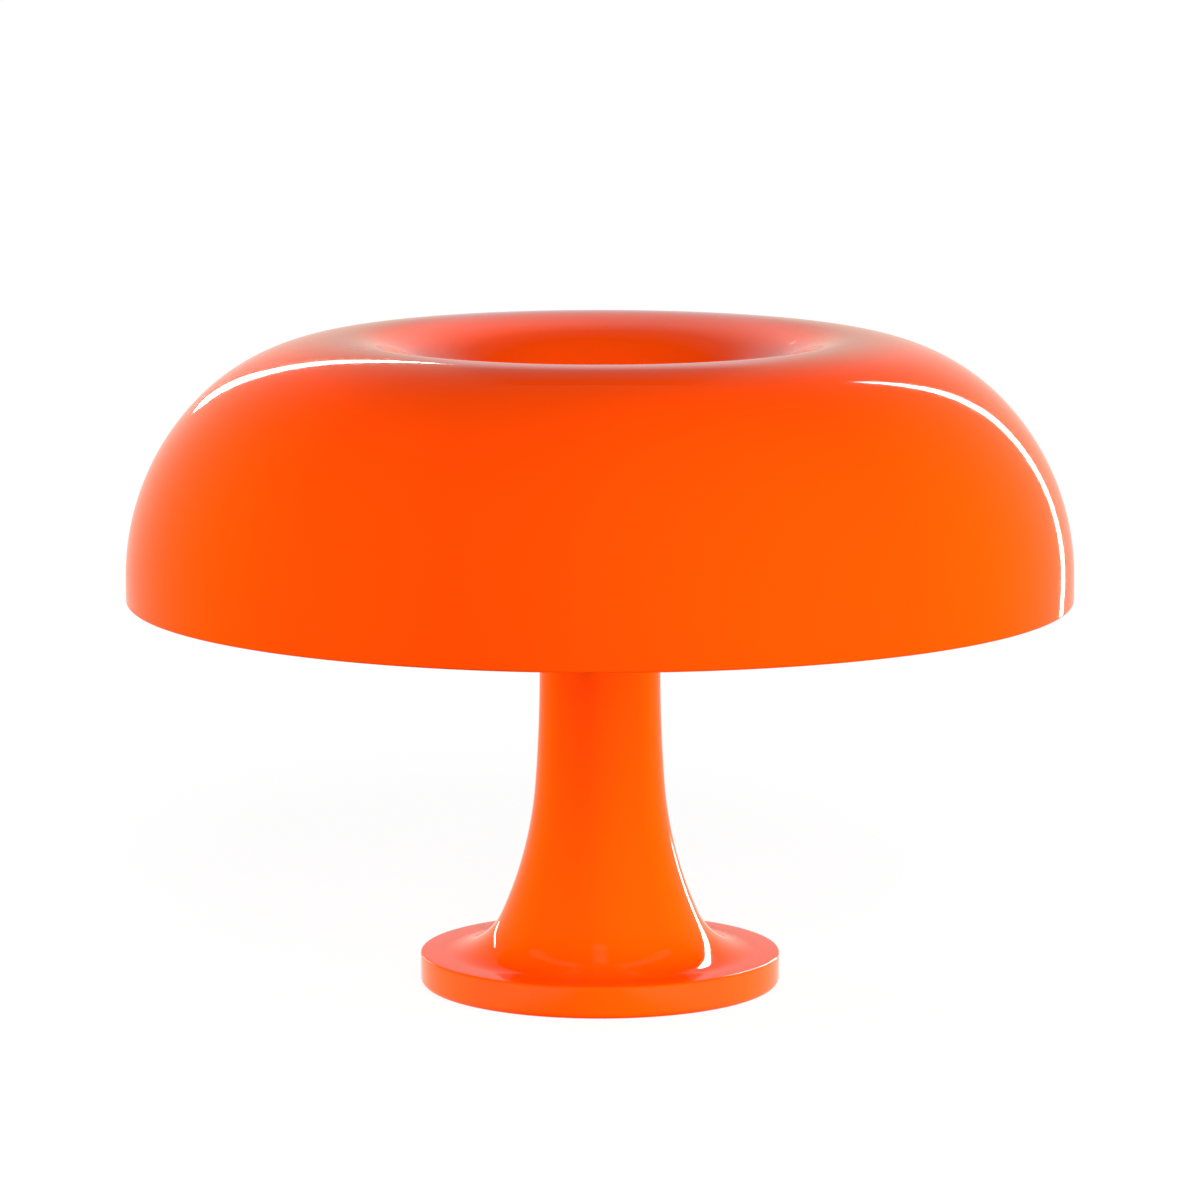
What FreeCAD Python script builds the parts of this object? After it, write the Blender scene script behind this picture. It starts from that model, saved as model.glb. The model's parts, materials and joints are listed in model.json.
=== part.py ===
"""Mushroom table lamp: a moulded trumpet base, a four-way lamp turret and a lift-off ring-shaped shade.

The lamp stands on z = 0 with its axis on Z. The mains lead enters at the back, on +Y.
Each function below makes one sub-part in place. Lengths are in millimetres, angles in degrees.
"""

import FreeCAD
import Part
import math
import os
from FreeCAD import Vector

# Shade: one moulded wall that rolls over from the skirt to the funnel in the middle
shade_radius = 160.0
shade_wall = 3.0
rim_height = 133.5
rim_edge_radius = 1.0
skirt_height = 8.4
shoulder_side_radius = 84.0
shoulder_top_radius = 71.0
shoulder_split = 44.5
lip_radius = 40.0
funnel_slope = 60.0
funnel_floor_fillet = 8.0
locating_ring_wall = 2.0
locating_ring_height = 2.5

# Base: foot disc and flared stem in one moulding
base_wall = 3.0
foot_radius = 61.2
foot_gap = 0.8
foot_top = 12.0
foot_rim_land = 0.6
foot_top_edge_radius = 0.8
foot_land = 8.2
flare_middle_radius = 132.0
flare_upper_radius = 545.0
flare_lower_turn = 25.0
flare_upper_turn = 4.2
stem_radius = 20.5
stem_rise_in_shade = 7.5
web_thickness = 3.0
web_depth = 4.0

# Bottom cover with its screws and feet
cover_recess = 0.2
cover_thickness = 1.6
screw_angles = (30.0, 150.0, 270.0)
screw_inset = 5.7
screw_head_radius = 3.0
screw_core_radius = 1.25
screw_length = 7.0
boss_radius = 4.0
boss_pilot_depth = 6.0
pad_angles = (45.0, 135.0, 225.0, 315.0)
pad_inset = 14.2
pad_radius = 6.0
pad_seat_depth = 0.8
pad_edge = 0.5

# Ballast ring, open at the back for the mains lead
ballast_inner_radius = 24.0
ballast_boss_gap = 1.5
ballast_bevel_width = 11.0
ballast_bevel_height = 4.2
ballast_lead_gap = 14.0

# Mains inlet, half way up the space in the foot, and terminal block
inlet_bore_radius = 2.6
grommet_neck_radius = 3.6
grommet_flange_radius = 4.4
grommet_flange_thickness = 1.2
grommet_tab_half_width = 6.0
grommet_tab_gap = 0.1
terminal_width = 18.0
terminal_depth = 18.0
terminal_height = 12.0
terminal_centre_y = 8.0
terminal_clamp_radius = 2.4
terminal_clamp_bore = 1.6
terminal_clamp_spacing = 8.4
terminal_key_radius = 1.5

# Lamp turret on top of the stem
turret_wall = 3.5
turret_height = 28.0
turret_sleeve = 4.0
turret_sleeve_wall = 2.3
turret_top_thickness = 3.0
turret_edge_radius = 1.0
nut_well_radius = 11.0
nut_well_depth = 7.0
holder_count = 4
holder_pad_radius = 10.0
holder_pad_step = 1.5

# Hollow threaded stud that carries the turret and the knob
stud_radius = 5.0
stud_bore_radius = 3.5
stud_tail = 2.0
nut_across_flats = 14.0
nut_height = 4.0
washer_radius = 8.5
washer_thickness = 0.8
gasket_inner_radius = 12.0
gasket_inset = 1.0
gasket_thickness = 1.0

# Knob that holds the shade down
knob_radius = 15.0
knob_height = 14.5
knob_dome = 3.0
knob_scallop_count = 10
knob_scallop_radius = 3.2
knob_scallop_depth = 1.3
knob_washer_radius = 11.0
knob_washer_thickness = 1.5
knob_thread_length = 6.5
insert_radius = 7.0
insert_height = 9.5
insert_bore_depth = 8.5

# Lampholders, measured outwards from the turret's pad face
nipple_radius = 5.0
nipple_bore_radius = 3.8
nipple_inside = 6.0
nipple_engagement = 9.0
holder_radius = 14.0
holder_rear_radius = 9.5
holder_cap_length = 16.0
holder_cap_dome = 6.0
holder_cap_wall = 2.0
holder_entry_radius = 10.0
block_seat = 11.5
block_length = 5.5
skirt_length = 24.0
skirt_front_radius = 13.2
skirt_wall = 1.6
skirt_clamp_thickness = 1.5
shell_thread_gap = 0.25
shell_wall = 0.45
shell_collar_gap = 1.6
contact_rise = 1.5
contact_half_span = 4.0
contact_width = 4.0
contact_thickness = 0.4

# Globe bulbs with a small screw cap, measured from the tip contact
bulb_length = 78.0
globe_radius = 22.5
glass_wall = 0.9
neck_radius = 8.0
neck_straight = 0.25
tip_radius = 2.4
tip_height = 1.2
insulator_length = 2.6
cap_thread_radius = 6.9
cap_thread_length = 16.0
cap_wall = 0.4
collar_length = 3.5
tip_gap = 0.3

# Leads inside the lamp
lead_radius = 1.5
lead_well_gap = 1.5
lead_side_step = 1.7
lead_hole_offset = 11.5
lead_hole_radius = 2.5
lead_foot_bend = 9.0
lead_top_bend = 8.0
link_bend = 13.3

# Clearances: a close fit, a slip fit and a free gap
close_fit = 0.05
slip_fit = 0.2
free_gap = 0.4

# Radii worked out from the foot's inner wall and from the stem
foot_inner_radius = foot_radius - base_wall
screw_circle_radius = foot_inner_radius - screw_inset
pad_circle_radius = foot_inner_radius - pad_inset
ballast_outer_radius = screw_circle_radius - boss_radius - ballast_boss_gap
turret_radius = stem_radius + slip_fit + turret_sleeve_wall
holder_pad_face = turret_radius + holder_pad_step
gasket_outer_radius = turret_radius - gasket_inset
shell_radius = cap_thread_radius + shell_thread_gap + shell_wall

# Heights worked out from the sizes above
cover_bottom = foot_gap + cover_recess
cover_top = cover_bottom + cover_thickness
foot_ceiling = foot_top - base_wall
inlet_height = (cover_top + foot_ceiling) / 2
stem_top = rim_height + stem_rise_in_shade
web_top = stem_top - web_depth
web_bottom = web_top - web_thickness
turret_top = stem_top + turret_height
well_floor = turret_top - nut_well_depth
well_ceiling = well_floor - turret_top_thickness
holder_height = well_ceiling - lead_well_gap - lead_radius
funnel_underside = turret_top + gasket_thickness
funnel_floor = funnel_underside + shade_wall
knob_seat = funnel_floor + knob_washer_thickness
stud_top = knob_seat + knob_thread_length
stud_bottom = web_bottom - washer_thickness - nut_height - stud_tail

# Places along a lampholder, from the pad face
block_front = block_seat + block_length
contact_top = block_front + contact_rise + contact_thickness
bulb_tip = contact_top + tip_gap
cap_start = bulb_tip + tip_height + insulator_length
collar_start = cap_start + cap_thread_length
shell_front = collar_start - cap_wall - shell_collar_gap
neck_end = collar_start + collar_length + neck_straight
globe_centre = bulb_tip + bulb_length - globe_radius

touching = 1e-6
z_axis = Vector(0, 0, 1)
origin = Vector(0, 0, 0)


def at(r, z):
    """Point of an outline: r from the axis of turning, z along it."""
    return Vector(r, 0, z)


def round_stretch(centre, radius, start, end):
    """Three points of an arc about a centre, from one angle to another."""
    return [centre + along(angle) * radius for angle in (start, (start + end) / 2, end)]


def along(angle):
    """Unit step in the outline's plane at an angle from the r axis."""
    return at(math.cos(math.radians(angle)), math.sin(math.radians(angle)))


def backwards(stretches):
    """The same stretches from the last point to the first."""
    return [stretch[::-1] for stretch in stretches[::-1]]


def outline(*items):
    """Closed wire through points and round stretches, joined by straight lines."""
    edges = []
    stretches = [item if isinstance(item, list) else [item] for item in items]
    last = stretches[-1][-1]
    for stretch in stretches:
        if last.distanceToPoint(stretch[0]) > touching:
            edges.append(Part.LineSegment(last, stretch[0]).toShape())
        if len(stretch) == 3:
            edges.append(Part.Arc(*stretch).toShape())
        last = stretch[-1]
    return Part.Wire(edges)


def turned(*items):
    """Solid made by turning an outline about the Z axis."""
    return Part.Face(outline(*items)).revolve(origin, z_axis, 360)


def ring(inner, outer, low, high):
    """Plain ring, or a disc where the inner radius is zero."""
    return turned(at(inner, low), at(outer, low), at(outer, high), at(inner, high))


def peg(radius, low, high, x=0.0, y=0.0):
    """Upright cylinder at a place in plan."""
    return Part.makeCylinder(radius, high - low, Vector(x, y, low))


def in_plan(radius, angle):
    """x and y of a place at a radius and an angle round the lamp."""
    return radius * math.cos(math.radians(angle)), radius * math.sin(math.radians(angle))


def box(x_low, x_high, y_low, y_high, z_low, z_high):
    """Block between two corners."""
    return Part.makeBox(x_high - x_low, y_high - y_low, z_high - z_low, Vector(x_low, y_low, z_low))


def fused(first, *others):
    """One solid from several that touch, without the seams between them."""
    return first.fuse(list(others)).removeSplitter()


def shade_skin(depth):
    """Stretches of the shade's wall at a depth below its outer face, from the skirt to the funnel floor."""
    side = at(shade_radius - shoulder_side_radius, rim_height + skirt_height)
    top = side + along(shoulder_split) * (shoulder_side_radius - shoulder_top_radius)
    lip = top + at(0, shoulder_top_radius - lip_radius)
    lip_end = 90 + funnel_slope
    facing = along(lip_end)
    run = along(lip_end + 90)
    cone_start = lip + facing * lip_radius
    drop = funnel_floor + funnel_floor_fillet - cone_start.z - facing.z * funnel_floor_fillet
    floor = cone_start + run * (drop / run.z) + facing * funnel_floor_fillet
    return [
        round_stretch(side, shoulder_side_radius - depth, 0, shoulder_split),
        round_stretch(top, shoulder_top_radius - depth, shoulder_split, 90),
        round_stretch(lip, lip_radius - depth, 90, lip_end),
        round_stretch(floor, funnel_floor_fillet + depth, lip_end - 180, -90),
    ]


def make_shade():
    """Rolled shell with a rounded rim, a hole for the stud and a ring that centres it on the turret."""
    inner_radius = shade_radius - shade_wall
    hole = stud_radius + free_gap
    rim_round = rim_height + rim_edge_radius
    wall = turned(
        round_stretch(at(inner_radius + rim_edge_radius, rim_round), rim_edge_radius, 180, 270),
        round_stretch(at(shade_radius - rim_edge_radius, rim_round), rim_edge_radius, 270, 360),
        *shade_skin(0),
        at(hole, funnel_floor),
        at(hole, funnel_underside),
        *backwards(shade_skin(shade_wall)),
    )
    return fused(wall, make_locating_ring())


def make_locating_ring():
    """Ring round the turret's top edge that ends half way into the wall of the funnel."""
    inner_radius = turret_radius + free_gap
    low = funnel_underside - locating_ring_height
    half_wall = shade_wall / 2
    skin = shade_skin(half_wall)
    crest = skin[1][-1].z
    below_skin = turned(
        at(0, rim_height),
        at(shade_radius - half_wall, rim_height),
        *skin,
        at(0, funnel_floor - half_wall),
    )
    return ring(inner_radius, inner_radius + locating_ring_wall, low, crest).common(below_skin)


def flare_skin(depth):
    """Stretches of the stem's wall at a depth below its outer face, from the foot's land up to the stem."""
    land_end = foot_radius - foot_land
    upper_step = flare_upper_radius * (1 - math.cos(math.radians(flare_upper_turn)))
    turns = [math.cos(math.radians(t)) for t in (flare_upper_turn, flare_lower_turn)]
    middle_step = flare_middle_radius * (turns[0] - turns[1])
    lower_radius = (land_end - stem_radius - upper_step - middle_step) / turns[1]
    lower_end = 180 + flare_lower_turn
    middle_end = 180 + flare_upper_turn
    lower = at(land_end, foot_top + lower_radius)
    middle = lower + along(lower_end) * (lower_radius - flare_middle_radius)
    upper = middle + along(middle_end) * (flare_middle_radius - flare_upper_radius)
    return [
        round_stretch(lower, lower_radius + depth, 270, lower_end),
        round_stretch(middle, flare_middle_radius + depth, lower_end, middle_end),
        round_stretch(upper, flare_upper_radius + depth, middle_end, 180),
    ]


def inlet_slot(half_width, low, y_low, y_high):
    """Slot with a round top about the mains inlet, open downwards, running through the foot's wall."""
    arch = round_stretch(at(0, inlet_height), half_width, 0, 180)
    face = Part.Face(outline(at(half_width, low), arch, at(-half_width, low)))
    return face.extrude(Vector(0, y_high - y_low, 0)).translated(Vector(0, y_low, 0))


def make_foot_stem():
    """Hollow foot and flared stem, with the stud's web, screw bosses and a slot for the grommet."""
    bottom_radius = base_wall - foot_rim_land
    bottom = at(foot_radius - bottom_radius, foot_gap + bottom_radius)
    top_edge = at(foot_radius - foot_top_edge_radius, foot_top - foot_top_edge_radius)
    shell = turned(
        at(foot_inner_radius, foot_gap),
        round_stretch(bottom, bottom_radius, 270, 360),
        round_stretch(top_edge, foot_top_edge_radius, 0, 90),
        *flare_skin(0),
        at(stem_radius, stem_top),
        at(stem_radius - base_wall, stem_top),
        *backwards(flare_skin(base_wall)),
        at(foot_inner_radius, foot_ceiling),
    )
    web = ring(stud_radius + slip_fit, stem_radius - base_wall / 2, web_bottom, web_top)
    bosses = []
    pilots = []
    for angle in screw_angles:
        x, y = in_plan(screw_circle_radius, angle)
        bosses.append(peg(boss_radius, cover_top, foot_ceiling + base_wall / 2, x, y))
        pilots.append(peg(screw_core_radius + close_fit, cover_top, cover_top + boss_pilot_depth, x, y))
    lead_hole = peg(lead_hole_radius, web_bottom, web_top, -lead_side_step, -lead_hole_offset)
    slot_width = grommet_neck_radius + close_fit
    slot = inlet_slot(slot_width, 0, foot_inner_radius - free_gap, foot_radius + free_gap)
    return fused(shell, web, *bosses).cut([lead_hole, slot, *pilots])


def screw_head(fit, angle):
    """Countersunk head in the cover at one of the screws' angles, wider all round by a fit."""
    place = Vector(*in_plan(screw_circle_radius, angle), cover_bottom)
    return Part.makeCone(screw_head_radius + fit, screw_core_radius + fit, cover_thickness, place)


def make_base_cover():
    """Flat bottom cover with countersunk holes, a seat for each foot pad and a notch for the grommet."""
    radius = foot_inner_radius - slip_fit
    tools = [screw_head(close_fit, angle) for angle in screw_angles]
    for angle in pad_angles:
        x, y = in_plan(pad_circle_radius, angle)
        tools.append(peg(pad_radius + slip_fit, cover_bottom, cover_bottom + pad_seat_depth, x, y))
    tools.append(inlet_slot(grommet_neck_radius + slip_fit, 0, radius - free_gap, foot_radius))
    return ring(0, radius, cover_bottom, cover_top).cut(tools)


def make_base_screws():
    """Countersunk screws that hold the cover to the bosses."""
    screws = []
    for angle in screw_angles:
        x, y = in_plan(screw_circle_radius, angle)
        shank = peg(screw_core_radius, cover_top, cover_bottom + screw_length, x, y)
        screws.append(fused(screw_head(0, angle), shank))
    return Part.makeCompound(screws)


def make_rubber_feet():
    """Round pads that stand on the table, seated in the cover."""
    pads = []
    for angle in pad_angles:
        x, y = in_plan(pad_circle_radius, angle)
        pad = turned(
            at(0, 0),
            at(pad_radius - pad_edge, 0),
            at(pad_radius, pad_edge),
            at(pad_radius, cover_bottom + pad_seat_depth),
            at(0, cover_bottom + pad_seat_depth),
        )
        pads.append(pad.translated(Vector(x, y, 0)))
    return Part.makeCompound(pads)


def make_ballast_ring():
    """Cast ring lying on the cover, bevelled to follow the flare and open at the back for the lead."""
    edge_top = foot_ceiling - slip_fit
    top = edge_top + ballast_bevel_height
    casting = turned(
        at(ballast_inner_radius, cover_top),
        at(ballast_outer_radius, cover_top),
        at(ballast_outer_radius, edge_top),
        at(ballast_outer_radius - ballast_bevel_width, top),
        at(ballast_inner_radius, top),
    )
    half_gap = ballast_lead_gap / 2
    return casting.cut(box(-half_gap, half_gap, 0, foot_radius, cover_top, top))


def make_cord_grommet():
    """Bush for the mains lead: an outer flange, a neck that fills the slot and a tab behind the wall."""
    wall_inside = foot_inner_radius - free_gap
    wall_outside = foot_radius + close_fit
    start = wall_inside - grommet_flange_thickness
    end = wall_outside + grommet_flange_thickness
    flange = along_inlet(grommet_flange_radius, wall_outside, end)
    neck = inlet_slot(grommet_neck_radius, cover_bottom, wall_inside, wall_outside)
    tab_low = cover_top + grommet_tab_gap
    tab_high = foot_ceiling - grommet_tab_gap
    tab = box(-grommet_tab_half_width, grommet_tab_half_width, start, wall_inside, tab_low, tab_high)
    return fused(flange, neck, tab).cut(along_inlet(inlet_bore_radius, start, end))


def along_inlet(radius, y_low, y_high):
    """Cylinder on the axis of the mains inlet."""
    return Part.makeCylinder(radius, y_high - y_low, Vector(0, y_low, inlet_height), Vector(0, 1, 0))


def clamp_places():
    """x of each terminal clamp."""
    return (-terminal_clamp_spacing / 2, terminal_clamp_spacing / 2)


def clamp_tube(radius, x):
    """Cylinder through the terminal block, from its lamp side to its mains side."""
    start = Vector(x, terminal_centre_y - terminal_depth / 2, cover_top + terminal_height / 2)
    return Part.makeCylinder(radius, terminal_depth, start, Vector(0, 1, 0))


def make_terminal_block():
    """Two-pole insulating block on the cover, with key holes over its clamp screws."""
    half_width = terminal_width / 2
    half_depth = terminal_depth / 2
    y_low = terminal_centre_y - half_depth
    y_high = terminal_centre_y + half_depth
    top = cover_top + terminal_height
    clamp_height = cover_top + terminal_height / 2
    tools = []
    for x in clamp_places():
        tools.append(clamp_tube(terminal_clamp_radius + close_fit, x))
        for y in (y_low + half_depth / 2, y_high - half_depth / 2):
            tools.append(peg(terminal_key_radius, clamp_height, top, x, y))
    return box(-half_width, half_width, y_low, y_high, cover_top, top).cut(tools)


def make_terminal_clamps():
    """Brass clamp tubes inside the terminal block."""
    tubes = []
    for x in clamp_places():
        tubes.append(clamp_tube(terminal_clamp_radius, x).cut(clamp_tube(terminal_clamp_bore, x)))
    return Part.makeCompound(tubes)


def on_holder(shape, number):
    """Places a shape modelled up the Z axis from the pad face on one of the lampholders."""
    placed = shape.copy()
    placed.rotate(origin, Vector(0, 1, 0), 90)
    placed.translate(Vector(holder_pad_face, 0, holder_height))
    placed.rotate(origin, z_axis, holder_angle(number))
    return placed


def holder_angle(number):
    """Direction of a lampholder, the first one at the front."""
    return -90 + 360 / holder_count * (number - 1)


def make_lamp_turret():
    """Upturned cup on the stem with a flat pad for each lampholder and a well for the nut."""
    inner_radius = turret_radius - turret_wall
    sleeve_radius = stem_radius + slip_fit
    well_outside = nut_well_radius + turret_top_thickness
    edge = at(turret_radius - turret_edge_radius, turret_top - turret_edge_radius)
    cup = turned(
        at(stud_radius + slip_fit, well_ceiling),
        at(well_outside, well_ceiling),
        at(well_outside, turret_top - turret_top_thickness),
        at(inner_radius, turret_top - turret_top_thickness),
        at(inner_radius, stem_top),
        at(sleeve_radius, stem_top),
        at(sleeve_radius, stem_top - turret_sleeve),
        at(turret_radius, stem_top - turret_sleeve),
        round_stretch(edge, turret_edge_radius, 0, 90),
        at(nut_well_radius, turret_top),
        at(nut_well_radius, well_floor),
        at(stud_radius + slip_fit, well_floor),
    )
    pad_depth = holder_pad_face - turret_radius + turret_wall
    pads = [on_holder(peg(holder_pad_radius, -pad_depth, 0), n + 1) for n in range(holder_count)]
    hollow = ring(well_outside, inner_radius, stem_top, turret_top - turret_top_thickness)
    hole_depth = pad_depth + turret_wall
    holes = [on_holder(peg(nipple_radius + close_fit, -hole_depth, 0), n + 1) for n in range(holder_count)]
    return fused(cup, *pads).cut([hollow, *holes])


def make_threaded_stud():
    """Hollow stud from under the web up into the knob."""
    return ring(stud_bore_radius, stud_radius, stud_bottom, stud_top)


def make_stud_nuts():
    """Hexagon nuts under the web and in the turret's well."""
    corner = nut_across_flats / 2 / math.cos(math.radians(30))
    nuts = []
    for low in (web_bottom - washer_thickness - nut_height, well_floor + washer_thickness):
        corners = [Vector(*in_plan(corner, 60 * side), low) for side in range(6)]
        hexagon = Part.Face(Part.makePolygon(corners + corners[:1])).extrude(Vector(0, 0, nut_height))
        nuts.append(hexagon.cut(peg(stud_radius + close_fit, low, low + nut_height)))
    return Part.makeCompound(nuts)


def make_stud_washers():
    """Plain washers between the nuts and the plastic."""
    inner = stud_radius + slip_fit
    lows = (web_bottom - washer_thickness, well_floor)
    return Part.makeCompound([ring(inner, washer_radius, low, low + washer_thickness) for low in lows])


def make_shade_gasket():
    """Soft ring between the turret and the shade."""
    return ring(gasket_inner_radius, gasket_outer_radius, turret_top, funnel_underside)


def make_knob_washer():
    """Washer that the knob bears on."""
    return ring(stud_radius + slip_fit, knob_washer_radius, funnel_floor, knob_seat)


def make_shade_knob():
    """Domed knob with finger scallops and a pocket for its threaded insert."""
    top = knob_seat + knob_height
    dome_radius = (knob_radius ** 2 + knob_dome ** 2) / (2 * knob_dome)
    half_angle = math.degrees(math.asin(knob_radius / dome_radius))
    dome = round_stretch(at(0, top - dome_radius), dome_radius, 90 - half_angle, 90)
    body = turned(
        at(insert_radius + close_fit, knob_seat),
        at(knob_radius, knob_seat),
        dome,
        at(0, knob_seat + insert_height),
        at(insert_radius + close_fit, knob_seat + insert_height),
    )
    scallops = []
    for number in range(knob_scallop_count):
        reach = knob_radius + knob_scallop_radius - knob_scallop_depth
        x, y = in_plan(reach, 360 / knob_scallop_count * number)
        scallops.append(peg(knob_scallop_radius, knob_seat, top, x, y))
    return body.cut(scallops)


def make_knob_insert():
    """Brass insert in the knob, with a blind bore for the stud."""
    body = peg(insert_radius, knob_seat, knob_seat + insert_height)
    return body.cut(peg(stud_radius + close_fit, knob_seat, knob_seat + insert_bore_depth))


def make_holder_nipples():
    """Short hollow threads that join the lampholders to the turret."""
    nipple = ring(nipple_bore_radius, nipple_radius, -nipple_inside, nipple_engagement)
    return Part.makeCompound([on_holder(nipple, n + 1) for n in range(holder_count)])


def make_holder_cap():
    """Rear half of a lampholder: a domed cap with the threaded entry and the seat for the contact block."""
    entry = nipple_radius + close_fit
    rear = at(holder_rear_radius, 0)
    rise = holder_radius - holder_rear_radius
    dome_radius = (rise ** 2 + holder_cap_dome ** 2) / (2 * rise)
    centre = at(holder_radius - dome_radius, holder_cap_dome)
    start = math.degrees(math.atan2(rear.z - centre.z, rear.x - centre.x))
    return turned(
        at(entry, 0),
        round_stretch(centre, dome_radius, start, 0),
        at(holder_radius, holder_cap_length),
        at(holder_radius - holder_cap_wall, holder_cap_length),
        at(holder_radius - holder_cap_wall, block_seat),
        at(holder_entry_radius, block_seat),
        at(holder_entry_radius, nipple_engagement),
        at(entry, nipple_engagement),
    )


def make_contact_block():
    """Ceramic disc that carries the contacts, on the seat in the cap."""
    return ring(0, holder_radius - holder_cap_wall - slip_fit, block_seat, block_front)


def make_holder_skirt():
    """Front half of a lampholder: a tapered skirt whose inner flange clamps the contact block."""
    front = holder_cap_length + skirt_length
    flange_front = block_front + skirt_clamp_thickness
    inside = holder_radius - skirt_wall
    return turned(
        at(holder_radius - holder_cap_wall, holder_cap_length),
        at(holder_radius, holder_cap_length),
        at(holder_radius, flange_front),
        at(skirt_front_radius, front),
        at(skirt_front_radius - skirt_wall, front),
        at(inside, flange_front),
        at(shell_radius + free_gap, flange_front),
        at(shell_radius + free_gap, block_front),
        at(holder_radius - holder_cap_wall, block_front),
    )


def make_thread_shell():
    """Brass screw shell standing on the contact block."""
    return ring(shell_radius - shell_wall, shell_radius, block_front, shell_front)


def make_centre_contact():
    """Bowed brass leaf under the bulb's tip."""
    under = [Vector(x, 0, z) for x, z in (
        (-contact_half_span, block_front), (0, block_front + contact_rise), (contact_half_span, block_front))]
    lift = Vector(0, 0, contact_thickness)
    over = [point + lift for point in under[::-1]]
    leaf = Part.Face(outline(under, over)).extrude(Vector(0, contact_width, 0))
    return leaf.translated(Vector(0, -contact_width / 2, 0))


def globe_skin(depth):
    """Stretches of the glass at a depth below its outer face, from the tip of the globe to its neck."""
    globe = at(0, globe_centre)
    reach = globe_centre - neck_end
    flare_radius = (reach ** 2 + neck_radius ** 2 - globe_radius ** 2) / (2 * (globe_radius - neck_radius))
    flare = at(neck_radius + flare_radius, neck_end)
    tilt = math.degrees(math.atan2(reach, neck_radius + flare_radius))
    return [
        round_stretch(globe, globe_radius - depth, 90, -tilt),
        round_stretch(flare, flare_radius + depth, 180 - tilt, 180),
    ]


def make_bulb_globe():
    """Hollow glass globe with a flared neck."""
    return turned(
        at(neck_radius - glass_wall, collar_start),
        at(neck_radius, collar_start),
        *backwards(globe_skin(0)),
        *globe_skin(glass_wall),
    )


def make_bulb_cap():
    """Thin screw cap with a wider collar round the neck of the glass."""
    collar_radius = neck_radius + cap_wall
    return turned(
        at(cap_thread_radius - cap_wall, cap_start),
        at(cap_thread_radius, cap_start),
        at(cap_thread_radius, collar_start - cap_wall),
        at(collar_radius, collar_start - cap_wall),
        at(collar_radius, collar_start + collar_length),
        at(neck_radius, collar_start + collar_length),
        at(neck_radius, collar_start),
        at(cap_thread_radius - cap_wall, collar_start),
    )


def make_bulb_insulator():
    """Cone of black glass between the cap and the tip."""
    start = bulb_tip + tip_height
    return turned(at(0, start), at(tip_radius, start), at(cap_thread_radius, cap_start), at(0, cap_start))


def make_bulb_tip():
    """Rounded tip contact."""
    dome_radius = (tip_radius ** 2 + tip_height ** 2) / (2 * tip_height)
    half_angle = math.degrees(math.asin(tip_radius / dome_radius))
    centre = at(0, bulb_tip + dome_radius)
    return turned(round_stretch(centre, dome_radius, 270, 270 + half_angle), at(0, bulb_tip + tip_height))


def lead_along(corners, bends):
    """Round lead along straight runs joined by tangent arcs, with the volume it should have."""
    edges = []
    here = corners[0]
    for before, corner, after, bend in zip(corners, corners[1:], corners[2:], bends):
        way_in = (corner - before).normalize()
        way_out = (after - corner).normalize()
        half_turn = way_in.getAngle(way_out) / 2
        cut_back = bend * math.tan(half_turn)
        start = corner - way_in * cut_back
        end = corner + way_out * cut_back
        inward = (way_out - way_in).normalize()
        middle = corner + inward * (bend / math.cos(half_turn) - bend)
        edges.append(Part.LineSegment(here, start).toShape())
        edges.append(Part.Arc(start, middle, end).toShape())
        here = end
    edges.append(Part.LineSegment(here, corners[-1]).toShape())
    path = Part.Wire(edges)
    section = Part.Wire(Part.makeCircle(lead_radius, corners[0], corners[1] - corners[0]))
    lead = path.makePipeShell([section], True, False)
    expected = math.pi * lead_radius ** 2 * path.Length
    print(f"lead of {path.Length:.1f} mm: volume {lead.Volume:.1f}, section times length {expected:.1f}")
    return lead


def make_supply_lead():
    """Lead from the terminal block up the stem, through the web and out to the first lampholder."""
    x = -lead_side_step
    foot_y = terminal_centre_y - terminal_depth / 2
    foot_z = cover_top + terminal_height / 2
    corners = [
        Vector(x, foot_y, foot_z),
        Vector(x, -lead_hole_offset, foot_z),
        Vector(x, -lead_hole_offset, holder_height),
        Vector(x, -holder_pad_face - block_seat, holder_height),
    ]
    return lead_along(corners, [lead_foot_bend, lead_top_bend])


def make_link_lead(number):
    """Lead from one lampholder to the next, bent round the stud."""
    end = holder_pad_face + block_seat
    corners = [
        Vector(end, lead_side_step, holder_height),
        Vector(lead_side_step, lead_side_step, holder_height),
        Vector(lead_side_step, end, holder_height),
    ]
    lead = lead_along(corners, [link_bend])
    lead.rotate(origin, z_axis, holder_angle(number))
    return lead


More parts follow.
